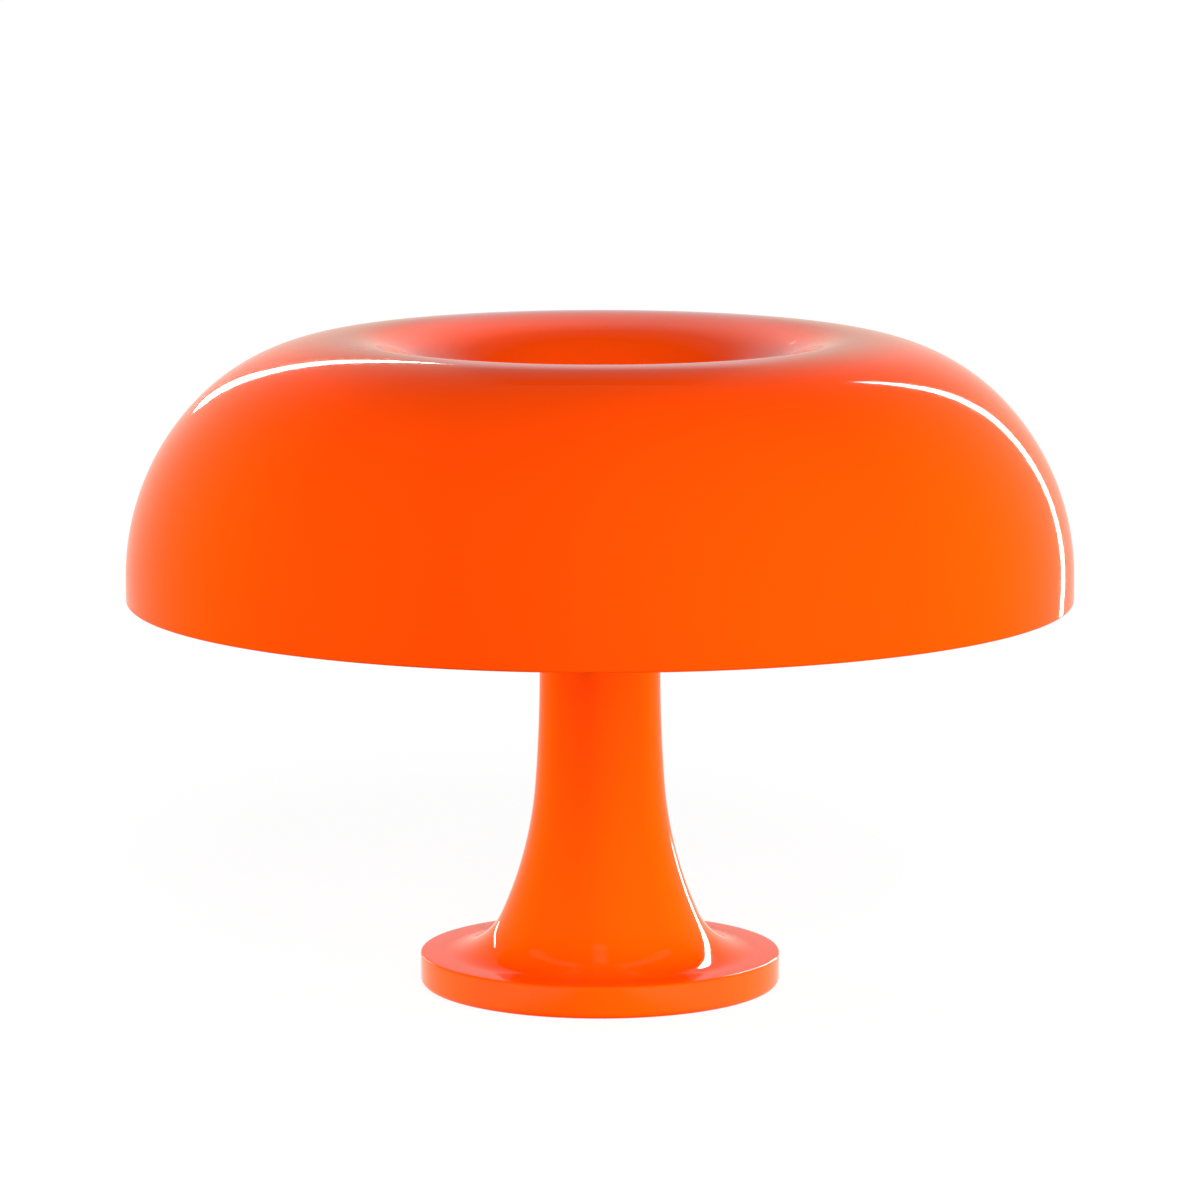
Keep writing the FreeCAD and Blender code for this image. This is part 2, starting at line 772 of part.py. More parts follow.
def make_all():
    """Every sub-part by its node name."""
    nodes = {
        "foot_stem": make_foot_stem(),
        "base_cover": make_base_cover(),
        "base_screws": make_base_screws(),
        "rubber_feet": make_rubber_feet(),
        "ballast_ring": make_ballast_ring(),
        "cord_grommet": make_cord_grommet(),
        "terminal_block": make_terminal_block(),
        "terminal_clamps": make_terminal_clamps(),
        "lamp_turret": make_lamp_turret(),
        "threaded_stud": make_threaded_stud(),
        "stud_nuts": make_stud_nuts(),
        "stud_washers": make_stud_washers(),
        "holder_nipples": make_holder_nipples(),
        "supply_lead": make_supply_lead(),
        "shade": make_shade(),
        "shade_gasket": make_shade_gasket(),
        "knob_washer": make_knob_washer(),
        "shade_knob": make_shade_knob(),
        "knob_insert": make_knob_insert(),
    }
    per_holder = {
        "holder_cap": make_holder_cap(),
        "contact_block": make_contact_block(),
        "holder_skirt": make_holder_skirt(),
        "thread_shell": make_thread_shell(),
        "centre_contact": make_centre_contact(),
        "bulb_globe": make_bulb_globe(),
        "bulb_cap": make_bulb_cap(),
        "bulb_insulator": make_bulb_insulator(),
        "bulb_tip": make_bulb_tip(),
    }
    for name, shape in per_holder.items():
        for number in range(1, holder_count + 1):
            nodes[f"{name}_{number}"] = on_holder(shape, number)
    for number in range(1, holder_count):
        nodes[f"link_lead_{number}"] = make_link_lead(number)
    return nodes


def main():
    os.makedirs("parts", exist_ok=True)
    for name, shape in make_all().items():
        if not shape.isValid():
            raise ValueError(f"{name} is not a valid shape")
        shape.exportStep(f"parts/{name}.step")


main()
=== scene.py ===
import json
import math
import bmesh
import bpy
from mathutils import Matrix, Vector

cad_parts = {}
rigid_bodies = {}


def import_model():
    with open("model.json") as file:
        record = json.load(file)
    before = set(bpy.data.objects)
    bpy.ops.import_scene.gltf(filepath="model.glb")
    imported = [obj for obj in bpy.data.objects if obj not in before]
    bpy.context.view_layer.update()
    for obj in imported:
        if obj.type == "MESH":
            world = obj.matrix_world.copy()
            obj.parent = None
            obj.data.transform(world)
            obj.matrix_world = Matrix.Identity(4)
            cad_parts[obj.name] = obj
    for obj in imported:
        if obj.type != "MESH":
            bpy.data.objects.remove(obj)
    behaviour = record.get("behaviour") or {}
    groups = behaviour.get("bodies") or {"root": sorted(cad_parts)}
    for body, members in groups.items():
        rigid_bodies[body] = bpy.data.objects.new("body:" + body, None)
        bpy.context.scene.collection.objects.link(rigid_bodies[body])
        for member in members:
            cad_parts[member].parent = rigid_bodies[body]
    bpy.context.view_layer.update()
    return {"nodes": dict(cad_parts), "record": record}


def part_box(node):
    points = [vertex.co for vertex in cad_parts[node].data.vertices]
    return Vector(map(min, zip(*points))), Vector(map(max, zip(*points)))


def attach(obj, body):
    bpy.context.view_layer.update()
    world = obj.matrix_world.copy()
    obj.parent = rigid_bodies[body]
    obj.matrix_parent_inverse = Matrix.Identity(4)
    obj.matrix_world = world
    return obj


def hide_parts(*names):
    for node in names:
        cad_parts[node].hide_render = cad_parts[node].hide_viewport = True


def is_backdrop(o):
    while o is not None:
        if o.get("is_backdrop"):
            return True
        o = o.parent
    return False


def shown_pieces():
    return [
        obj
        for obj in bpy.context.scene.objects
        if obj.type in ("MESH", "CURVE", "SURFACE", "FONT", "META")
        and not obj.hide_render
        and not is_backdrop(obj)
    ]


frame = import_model()
nodes = frame["nodes"]
mm = 0.001
weld = 0.000001  # vertices nearer than this are one
print("frame loaded:", len(nodes), "nodes")


# modelling by hand

def deselectAll():
    if bpy.context.object and bpy.context.object.mode != "OBJECT":
        objectMode()
    bpy.ops.object.select_all(action="DESELECT")


def editMode():
    bpy.ops.object.mode_set(mode="EDIT")


def objectMode():
    bpy.ops.object.mode_set(mode="OBJECT")


def flat(r, z):  # a point of an outline, r out from the axis and z along it, in mm
    return Vector((r, 0, z)) * mm


def arc(centre, radius, start, end, step=3):  # points round a centre, angles in degrees
    count = max(1, round(abs(end - start) / step))
    points = []
    for i in range(count + 1):
        angle = math.radians(start + (end - start) * i / count)
        points.append(centre + flat(radius * math.cos(angle), radius * math.sin(angle)))
    return points


def corner(r, z, ease, start, step=30):  # rounded corner at a point, in the quarter that begins at an angle
    aside = -ease if start in (0, 270) else ease
    along = -ease if start in (0, 90) else ease
    return arc(flat(r + aside, z + along), ease, start, start + 90, step)


def heading(angle):  # unit step at an angle from the r axis
    return Vector((math.cos(math.radians(angle)), 0, math.sin(math.radians(angle))))


def drawLine(name, points):  # one vertex, extruded from point to point
    deselectAll()
    bpy.ops.mesh.primitive_plane_add(size=mm)
    piece = bpy.context.active_object
    piece.name = name
    piece.data.name = name
    editMode()
    bpy.ops.mesh.select_all(action="SELECT")
    bpy.ops.mesh.merge(type="CENTER")
    bpy.ops.transform.translate(value=points[0])
    for here, there in zip(points, points[1:]):
        if (there - here).length > weld:
            bpy.ops.mesh.extrude_vertices_move(TRANSFORM_OT_translate={"value": there - here})
    return piece


def weldAll():  # in edit mode, and all stays selected
    bpy.ops.mesh.select_all(action="SELECT")
    bpy.ops.mesh.remove_doubles(threshold=weld)
    bpy.ops.mesh.select_all(action="SELECT")


def faceOut():  # all faces outwards, then back from edit mode
    bpy.ops.mesh.select_all(action="SELECT")
    bpy.ops.mesh.normals_make_consistent(inside=False)
    objectMode()


def turnPiece(name, points, steps=96, closed=True):  # outline drawn and spun; an open one ends on the axis
    piece = drawLine(name, points + points[:1] if closed else points)
    bpy.ops.mesh.select_all(action="SELECT")
    bpy.ops.mesh.spin(steps=steps, angle=math.tau, center=(0, 0, 0), axis=(0, 0, 1))
    weldAll()
    faceOut()
    smoothEdges(piece)
    return piece


def drawLoop(name, points):  # closed outline, left in edit mode
    loop = drawLine(name, points + points[:1])
    weldAll()
    return loop


def fillLine(name, points):  # flat face inside an outline
    face = drawLoop(name, points)
    bpy.ops.mesh.edge_face_add()
    objectMode()
    return face


def pick(piece):  # the only one selected
    deselectAll()
    piece.select_set(True)
    bpy.context.view_layer.objects.active = piece


def putPlace(piece, place=(0, 0, 0), turn=(0, 0, 0)):  # moved in mm, turned in degrees, then kept in the mesh
    piece.location = Vector(place) * mm
    piece.rotation_euler = [math.radians(angle) for angle in turn]
    pick(piece)
    bpy.ops.object.transform_apply(location=True, rotation=True, scale=True)
    return piece


def copyPiece(piece, name):
    pick(piece)
    bpy.ops.object.duplicate()
    twin = bpy.context.active_object
    twin.name = name
    twin.data.name = name
    return twin


def joinPieces(piece, others):
    pick(piece)
    for other in others:
        other.select_set(True)
    bpy.ops.object.join()
    return piece


def useModifier(piece, kind, **options):
    pick(piece)
    modifier = piece.modifiers.new(kind.lower(), kind)
    for option, value in options.items():
        setattr(modifier, option, value)
    bpy.ops.object.modifier_apply(modifier=modifier.name)


def cutAway(piece, cutter, operation="DIFFERENCE"):  # the cutter goes afterwards
    useModifier(piece, "BOOLEAN", operation=operation, solver="EXACT", object=cutter)
    bpy.data.objects.remove(cutter)
    editMode()  # the cut leaves double points
    weldAll()
    objectMode()


def smoothEdges(piece, sharp=35):
    pick(piece)
    bpy.ops.object.shade_smooth_by_angle(angle=math.radians(sharp))


def selectWhere(piece, test):  # vertices by their place, in edit mode
    bpy.ops.mesh.select_all(action="DESELECT")
    mesh = bmesh.from_edit_mesh(piece.data)
    for vert in mesh.verts:
        vert.select_set(test(vert.co))
    mesh.select_flush(True)
    bmesh.update_edit_mesh(piece.data)


def extrudeFace(name, points, step):  # flat outline filled and drawn out to a block
    block = drawLoop(name, points)
    bpy.ops.mesh.edge_face_add()
    bpy.ops.mesh.extrude_region_move(TRANSFORM_OT_translate={"value": Vector(step) * mm})
    faceOut()
    return block


# ridge of a thread: sunk foot and rounded crest in mm, the other places as shares of the pitch
threadValues = {"sink": 0.1, "ease": 0.12, "foot": 0.02, "shoulder": 0.3, "flatTop": 0.42, "sharp": 50}


def windThread(name, low, turns, v, steps):  # ridge wound up a core, its foot just under the core's face
    t, crest, pitch = threadValues, v["crest"], v["pitch"]
    rising = [(v["root"] - t["sink"], t["foot"]), (crest - t["ease"], t["shoulder"]), (crest, t["flatTop"])]
    falling = [(r, 1 - share) for r, share in rising[::-1]]
    thread = drawLoop(name, [flat(r, low + share * pitch) for r, share in rising + falling])
    objectMode()
    useModifier(thread, "SCREW", axis="Z", angle=math.tau, screw_offset=pitch * mm, iterations=turns,
                steps=steps, render_steps=steps)
    editMode()
    weldAll()
    bpy.ops.mesh.fill_holes(sides=8)
    faceOut()
    smoothEdges(thread, t["sharp"])
    return thread


# nodes of a finish

def addNode(tree, kind, feeds=None, **options):
    node = tree.nodes.new(kind)
    for option, value in options.items():
        setattr(node, option, value)
    for socket, value in (feeds or {}).items():
        if isinstance(value, tuple) and isinstance(value[0], bpy.types.Node):
            tree.links.new(value[0].outputs[value[1]], node.inputs[socket])
        else:
            node.inputs[socket].default_value = value
    return node


def calc(tree, operation, *values):
    return addNode(tree, "ShaderNodeMath", dict(enumerate(values)), operation=operation)


def newGroup(name, inputs, outputs):
    group = bpy.data.node_groups.new(name, "ShaderNodeTree")
    for socket, kind in inputs.items():
        group.interface.new_socket(name=socket, in_out="INPUT", socket_type=kind)
    for socket, kind in outputs.items():
        group.interface.new_socket(name=socket, in_out="OUTPUT", socket_type=kind)
    return group, group.nodes.new("NodeGroupInput"), group.nodes.new("NodeGroupOutput")


def makeSkinGroup():  # moulded surface: slow waves and fine orange peel, as a height
    group, given, result = newGroup(
        "mouldedSkin",
        {"Wave Scale": "NodeSocketFloat", "Peel Scale": "NodeSocketFloat", "Peel Share": "NodeSocketFloat"},
        {"Height": "NodeSocketFloat"})
    coords = addNode(group, "ShaderNodeTexCoord")
    waves = addNode(group, "ShaderNodeTexNoise",
                    {"Vector": (coords, "Object"), "Scale": (given, "Wave Scale"), "Detail": 1.0})
    peel = addNode(group, "ShaderNodeTexNoise",
                   {"Vector": (coords, "Object"), "Scale": (given, "Peel Scale"), "Detail": 2.0})
    both = addNode(group, "ShaderNodeMix",
                   {0: (given, "Peel Share"), 2: (waves, "Fac"), 3: (peel, "Fac")}, data_type="FLOAT")
    group.links.new(both.outputs[0], result.inputs["Height"])
    return group


def makeDriftGroup():  # slow change of tone over a surface
    group, given, result = newGroup(
        "toneDrift",
        {"Color": "NodeSocketColor", "Scale": "NodeSocketFloat", "Amount": "NodeSocketFloat"},
        {"Color": "NodeSocketColor"})
    coords = addNode(group, "ShaderNodeTexCoord")
    cloud = addNode(group, "ShaderNodeTexNoise",
                    {"Vector": (coords, "Object"), "Scale": (given, "Scale"), "Detail": 4.0})
    centred = calc(group, "SUBTRACT", (cloud, "Fac"), 0.5)
    sized = calc(group, "MULTIPLY", (centred, 0), (given, "Amount"))
    level = calc(group, "ADD", (sized, 0), 1.0)
    toned = addNode(group, "ShaderNodeVectorMath", {0: (given, "Color"), "Scale": (level, 0)}, operation="SCALE")
    group.links.new(toned.outputs["Vector"], result.inputs["Color"])
    return group


def makeHandlingGroup():  # faint wiping marks, as a roughness
    group, given, result = newGroup(
        "handling",
        {"Roughness": "NodeSocketFloat", "Scale": "NodeSocketFloat", "Amount": "NodeSocketFloat"},
        {"Roughness": "NodeSocketFloat", "Marks": "NodeSocketFloat"})
    coords = addNode(group, "ShaderNodeTexCoord")
    stretched = addNode(group, "ShaderNodeMapping", {"Vector": (coords, "Object"), "Scale": (1.0, 1.0, 3.0)})
    smears = addNode(group, "ShaderNodeTexNoise",
                     {"Vector": (stretched, "Vector"), "Scale": (given, "Scale"), "Detail": 6.0, "Distortion": 0.6})
    marks = addNode(group, "ShaderNodeMapRange", {"Value": (smears, "Fac"), 1: 0.42, 2: 0.72})
    added = calc(group, "MULTIPLY", (marks, "Result"), (given, "Amount"))
    rough = calc(group, "ADD", (given, "Roughness"), (added, 0))
    group.links.new(rough.outputs[0], result.inputs["Roughness"])
    group.links.new(marks.outputs["Result"], result.inputs["Marks"])
    return group


mouldedSkin = makeSkinGroup()
toneDrift = makeDriftGroup()
handling = makeHandlingGroup()


def addGroup(tree, group, values):
    return addNode(tree, "ShaderNodeGroup", values, node_tree=group)


def layFinish(name, v, look):  # drifting colour, wiped roughness and a fine skin
    finish = bpy.data.materials.new(name)
    finish.use_nodes = True
    tree = finish.node_tree
    shader = tree.nodes["Principled BSDF"]
    for socket, value in v.get("sockets", {}).items():
        shader.inputs[socket].default_value = value
    tone = addGroup(tree, toneDrift, {"Color": v["color"], "Scale": v["drift"][0], "Amount": v["drift"][1]})
    rub = addGroup(tree, handling, {"Roughness": v["roughness"], "Scale": v["marks"][0], "Amount": v["marks"][1]})
    skin = addGroup(tree, mouldedSkin,
                    {"Wave Scale": v["skin"][0], "Peel Scale": v["skin"][1], "Peel Share": look["peel"]})
    bump = addNode(tree, "ShaderNodeBump",
                   {"Height": (skin, "Height"), "Strength": v["bump"], "Distance": look["depth"]})
    tree.links.new(rub.outputs["Roughness"], shader.inputs["Roughness"])
    tree.links.new(bump.outputs["Normal"], shader.inputs["Normal"])
    return finish, tree, shader, tone, rub


def orangeGloss(name, v):  # one deep orange, dyed right through and polished
    finish, tree, shader, tone, rub = layFinish(name, v, glossLook)
    tree.links.new(tone.outputs["Color"], shader.inputs["Base Color"])
    return finish


def wornFinish(name, v):  # stains over the drifting colour
    finish, tree, shader, tone, rub = layFinish(name, v, wornLook)
    share = calc(tree, "MULTIPLY", (rub, "Marks"), v["stain"][1])
    colour = addNode(tree, "ShaderNodeMix", {0: (share, 0), 6: (tone, "Color"), 7: v["stain"][0]}, data_type="RGBA")
    tree.links.new(colour.outputs[2], shader.inputs["Base Color"])
    return finish


glossLook = {"peel": 0.1, "depth": 0.0002}  # share of orange peel in the skin, and its depth in metres
wornLook = {"peel": 0.4, "depth": 0.0003}
# drift and marks: scale and amount; skin: scales of waves and peel; stain: colour and share
orangeValues = {"color": (0.99, 0.066, 0.0003, 1), "drift": (14, 0.03), "roughness": 0.05, "marks": (22, 0.015),
                "skin": (45, 1600), "bump": 0.01}
knobOrangeValues = {"color": (0.95, 0.062, 0.0003, 1), "drift": (14, 0.03), "roughness": 0.12, "marks": (22, 0.05),
                    "skin": (45, 1600), "bump": 0.04}
wornValues = {
    "cover_plastic": {"color": (0.045, 0.045, 0.05, 1), "drift": (30, 0.2), "roughness": 0.48, "marks": (40, 0.14),
                      "skin": (900, 4200), "bump": 0.5, "stain": ((0.13, 0.12, 0.11, 1), 0.12)},
    "white_plastic": {"color": (0.68, 0.67, 0.63, 1), "drift": (25, 0.05), "roughness": 0.34, "marks": (45, 0.1),
                      "skin": (120, 2600), "bump": 0.1, "stain": ((0.6, 0.55, 0.46, 1), 0.25)},
    "lead_sleeve": {"color": (0.64, 0.62, 0.56, 1), "drift": (60, 0.08), "roughness": 0.48, "marks": (80, 0.12),
                    "skin": (300, 3000), "bump": 0.2, "stain": ((0.45, 0.42, 0.36, 1), 0.3)},
    "ceramic": {"color": (0.76, 0.73, 0.66, 1), "drift": (40, 0.06), "roughness": 0.15, "marks": (60, 0.12),
                "skin": (200, 1500), "bump": 0.08, "stain": ((0.5, 0.46, 0.38, 1), 0.2)},
    "rubber": {"color": (0.022, 0.022, 0.023, 1), "drift": (50, 0.3), "roughness": 0.68, "marks": (60, 0.14),
               "skin": (700, 3600), "bump": 0.4, "stain": ((0.1, 0.095, 0.09, 1), 0.25)},
    "cast_iron": {"color": (0.11, 0.11, 0.115, 1), "drift": (35, 0.35), "roughness": 0.62, "marks": (35, 0.2),
                  "skin": (350, 1400), "bump": 0.9, "stain": ((0.17, 0.07, 0.03, 1), 0.45),
                  "sockets": {"Metallic": 0.7}},
    "zinc_steel": {"color": (0.62, 0.63, 0.65, 1), "drift": (70, 0.12), "roughness": 0.3, "marks": (90, 0.2),
                   "skin": (500, 2600), "bump": 0.08, "stain": ((0.56, 0.52, 0.41, 1), 0.35),
                   "sockets": {"Metallic": 1.0}},
    "brass": {"color": (0.78, 0.57, 0.24, 1), "drift": (60, 0.12), "roughness": 0.27, "marks": (70, 0.2),
              "skin": (400, 2400), "bump": 0.08, "stain": ((0.42, 0.27, 0.11, 1), 0.4), "sockets": {"Metallic": 1.0}},
    "nickel_cap": {"color": (0.72, 0.71, 0.69, 1), "drift": (80, 0.1), "roughness": 0.26, "marks": (90, 0.18),
                   "skin": (400, 2400), "bump": 0.06, "stain": ((0.5, 0.46, 0.4, 1), 0.3),
                   "sockets": {"Metallic": 1.0}},
    "opal_glass": {"color": (0.74, 0.74, 0.72, 1), "drift": (18, 0.04), "roughness": 0.22, "marks": (30, 0.04),
                   "skin": (60, 900), "bump": 0.03, "stain": ((0.7, 0.69, 0.65, 1), 0.12),
                   "sockets": {"Transmission Weight": 0.2, "IOR": 1.5, "Coat Weight": 0.4, "Coat Roughness": 0.08}},
    "black_glass": {"color": (0.014, 0.014, 0.016, 1), "drift": (60, 0.2), "roughness": 0.07, "marks": (80, 0.1),
                    "skin": (200, 1500), "bump": 0.05, "stain": ((0.06, 0.055, 0.05, 1), 0.2)},
}
finishes = {
    "shade_plastic": orangeGloss("shadeOrange", orangeValues),
    "base_plastic": orangeGloss("baseOrange", orangeValues),
    "knob_plastic": orangeGloss("knobOrange", knobOrangeValues),
}
for slotName, slotValues in wornValues.items():
    finishes[slotName] = wornFinish(slotName.replace("_", " ").title().replace(" ", ""), slotValues)


def dressNodes():  # every solid gets the finish of its own slot
    for row in frame["record"]["subparts"]:
        node = nodes[row["node"]]
        if not node.material_slots:
            node.data.materials.append(finishes[row["material_slot"]])
        for place in node.material_slots:
            place.material = finishes[row["material_slot"]]


dressNodes()
print("finishes made:", len(finishes))


def dress(piece, slot):
    piece.data.materials.clear()
    piece.data.materials.append(finishes[slot])


def fit(piece, body, node, slot):  # stands for a solid, rides with it and takes its finish
    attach(piece, body)
    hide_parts(node)
    dress(piece, slot)


# shade: one wall that rolls over from the skirt into the funnel

shadeValues = {
    "wall": 3, "skirt": 8.4, "sideArc": 84, "topArc": 71, "split": 44.5,
    "lipArc": 40, "slope": 60, "floorArc": 8, "rimEdge": 1, "holeEdge": 0.4,
    "hole": 5.4, "ringInside": 23.4, "ringWall": 2, "ringDrop": 2.5, "ringEdge": 0.4, "floor": 173, "rounds": 320,
}


def shadeSkin(low, radius, depth, step):  # the wall at a depth below its outer face
    v = shadeValues
    side = flat(radius - v["sideArc"], low + v["skirt"])
    top = side + heading(v["split"]) * (v["sideArc"] - v["topArc"]) * mm
    lip = top + flat(0, v["topArc"] - v["lipArc"])
    lipEnd = 90 + v["slope"]
    coneStart = lip + heading(lipEnd) * v["lipArc"] * mm
    run = heading(lipEnd + 90)
    drop = (v["floor"] + v["floorArc"] * (1 - heading(lipEnd).z)) * mm - coneStart.z
    floor = coneStart + run * (drop / run.z) + heading(lipEnd) * v["floorArc"] * mm
    return [
        *arc(side, v["sideArc"] - depth, 0, v["split"], step),
        *arc(top, v["topArc"] - depth, v["split"], 90, step),
        *arc(lip, v["lipArc"] - depth, 90, lipEnd, step),
        *arc(floor, v["floorArc"] + depth, lipEnd - 180, -90, 5),
    ]


def makeShade():
    v = shadeValues
    lowCorner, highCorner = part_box("shade")
    low, radius = lowCorner.z / mm, highCorner.x / mm
    under = v["floor"] - v["wall"]
    edge, hole, holeEdge = v["rimEdge"], v["hole"], v["holeEdge"]
    ringIn, ringOut = v["ringInside"], v["ringInside"] + v["ringWall"]  # locating ring round the turret
    ringLow, ringEdge = under - v["ringDrop"], v["ringEdge"]
    outline = [
        *corner(radius - v["wall"], low, edge, 180, 15),
        *corner(radius, low, edge, 270, 15),
        *shadeSkin(low, radius, 0, 1.25),
        *corner(hole, v["floor"], holeEdge, 90),
        *corner(hole, under, holeEdge, 180),
        flat(ringIn, under),
        *corner(ringIn, ringLow, ringEdge, 180),
        *corner(ringOut, ringLow, ringEdge, 270),
        flat(ringOut, under),
        *shadeSkin(low, radius, v["wall"], 2.5)[::-1],
    ]
    shade = turnPiece("shade_shell", outline, v["rounds"])
    fit(shade, "shade", "shade", "shade_plastic")
    print("shade spun:", len(shade.data.polygons), "faces")


makeShade()


# base: foot disc and trumpet stem

baseValues = {
    "wall": 3, "gap": 0.8, "top": 12, "bottomEdge": 2.4, "topEdge": 0.8, "land": 8.2,
    "midArc": 132, "upArc": 545, "lowTurn": 25, "upTurn": 4.2, "stem": 20.5, "stemTop": 141, "rounds": 256,
    "web": (134, 137), "studHole": 5.2, "leadHole": 2.5, "leadPlace": (-1.7, -11.5),
    "slotHalf": 3.65, "slotHeight": 5.8, "boss": 4, "pilot": 1.3, "bossLow": 2.6, "bossTop": 10.5,
    "bossCircle": 52.5, "bossAngles": (30, 150, 270), "slotPast": 0.4, "leadPast": 1, "leadCut": 6,
}


def flareSkin(footRadius, depth):  # from the foot's land up to the straight stem
    v = baseValues
    landEnd = footRadius - v["land"]
    upCos, lowCos = math.cos(math.radians(v["upTurn"])), math.cos(math.radians(v["lowTurn"]))
    lowArc = (landEnd - v["stem"] - v["upArc"] * (1 - upCos) - v["midArc"] * (upCos - lowCos)) / lowCos
    lowEnd, midEnd = 180 + v["lowTurn"], 180 + v["upTurn"]
    low = flat(landEnd, v["top"] + lowArc)
    middle = low + heading(lowEnd) * (lowArc - v["midArc"]) * mm
    up = middle + heading(midEnd) * (v["midArc"] - v["upArc"]) * mm
    return [
        *arc(low, lowArc + depth, 270, lowEnd, 2.5),
        *arc(middle, v["midArc"] + depth, lowEnd, midEnd, 1.5),
        *arc(up, v["upArc"] + depth, midEnd, 180, 0.5),
    ]


def makeBase():
    v = baseValues
    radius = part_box("foot_stem")[1].x / mm
    inside = radius - v["wall"]
    outline = [
        flat(inside, v["gap"]),
        *corner(radius, v["gap"], v["bottomEdge"], 270, 10),
        *corner(radius, v["top"], v["topEdge"], 0, 12),
        *flareSkin(radius, 0),
        flat(v["stem"], v["stemTop"]),
        flat(v["stem"] - v["wall"], v["stemTop"]),
        flat(v["stem"] - v["wall"], v["web"][1]),
        flat(v["studHole"], v["web"][1]),
        flat(v["studHole"], v["web"][0]),
        flat(v["stem"] - v["wall"], v["web"][0]),
        *flareSkin(radius, v["wall"])[::-1],
        flat(inside, v["top"] - v["wall"]),
    ]
    base = turnPiece("foot_and_stem", outline, v["rounds"])
    half = v["slotHalf"]  # slot of the mains inlet, open downwards
    slot = extrudeFace("slot", [flat(half, 0), *arc(flat(0, v["slotHeight"]), half, 0, 180, 15), flat(-half, 0)],
                       (0, v["wall"] + 2 * v["slotPast"], 0))
    cutAway(base, putPlace(slot, (0, inside - v["slotPast"], 0)))
    leadHole = extrudeFace("leadHole", arc(flat(0, 0), v["leadHole"], 0, 360, 360 / 32), (0, v["leadCut"], 0))
    cutAway(base, putPlace(leadHole, (*v["leadPlace"], v["web"][0] - v["leadPast"]), (90, 0, 0)))
    bosses = []
    for angle in v["bossAngles"]:
        boss = turnPiece("boss", [flat(v["pilot"], v["bossLow"]), flat(v["boss"], v["bossLow"]),
                                  flat(v["boss"], v["bossTop"]), flat(v["pilot"], v["bossTop"])], 32)
        bosses.append(putPlace(boss, heading(angle).xzy * v["bossCircle"]))
    joinPieces(base, bosses)
    smoothEdges(base)
    fit(base, "base", "foot_stem", "base_plastic")
    print("base spun:", len(base.data.polygons), "faces")


makeBase()


# turret on the stem: a cup over the stem's end with a round pad for each lampholder
turretValues = {
    "bore": 5.2, "ceiling": 159, "wellOut": 14, "under": 166, "inside": 19.5, "stemTop": 141, "sleeve": 20.7,
    "low": 137, "radius": 23, "top": 169, "edge": 1, "lowEdge": 0.4, "well": 11, "wellEdge": 0.5, "floor": 162,
    "pad": 10, "padFrom": 20.5, "padFace": 24.5, "padEdge": 0.6, "padBore": 5.05, "axis": 156,
}


def lieOut(piece, number):  # from upright on the axis to lying outwards at one of the four holders
    return putPlace(piece, (0, 0, turretValues["axis"]), (90, 0, 90 * (number - 1)))


def fitRound(pieces):  # each piece at all four holders, the first one last
    for number in (4, 3, 2, 1):
        for piece, name, node, body, slot in pieces:
            one = piece if number == 1 else copyPiece(piece, f"{name}_{number}")
            one.name = f"{name}_{number}"
            fit(lieOut(one, number), body.format(number), f"{node}_{number}", slot)


def makeTurret():
    v = turretValues
    cup = turnPiece("turret_cup", [
        flat(v["bore"], v["ceiling"]), flat(v["wellOut"], v["ceiling"]), flat(v["wellOut"], v["under"]),
        flat(v["inside"], v["under"]), flat(v["inside"], v["stemTop"]), flat(v["sleeve"], v["stemTop"]),
        flat(v["sleeve"], v["low"]),
        *corner(v["radius"], v["low"], v["lowEdge"], 270),
        *corner(v["radius"], v["top"], v["edge"], 0, 15),
        *corner(v["well"], v["top"], v["wellEdge"], 90),
        flat(v["well"], v["floor"]), flat(v["bore"], v["floor"])])
    pads = []
    for number in (1, 2, 3, 4):
        pad = turnPiece("pad", [
            flat(v["padBore"], v["padFrom"]), flat(v["pad"], v["padFrom"]),
            *corner(v["pad"], v["padFace"], v["padEdge"], 0, 15),
            flat(v["padBore"], v["padFace"])], 64)
        pads.append(lieOut(pad, number))
    joinPieces(cup, pads)
    fit(cup, "base", "lamp_turret", "white_plastic")
    print("turret made")


makeTurret()


# lampholders, lengths outwards from the pad's face
holderValues = {
    "face": 24.5, "entry": 5.05, "rear": 9.5, "radius": 14, "dome": 6, "capLength": 16, "capWall": 2, "seat": 11.5,
    "well": 10, "nipple": 9, "seam": 0.35, "groove": 0.5, "skirtLength": 24, "front": 13.2, "skirtWall": 1.6,
    "clamp": (17, 18.5), "clampBore": 8, "frontEdge": 0.6, "lipEdge": 0.2, "grip": 2.6,
}


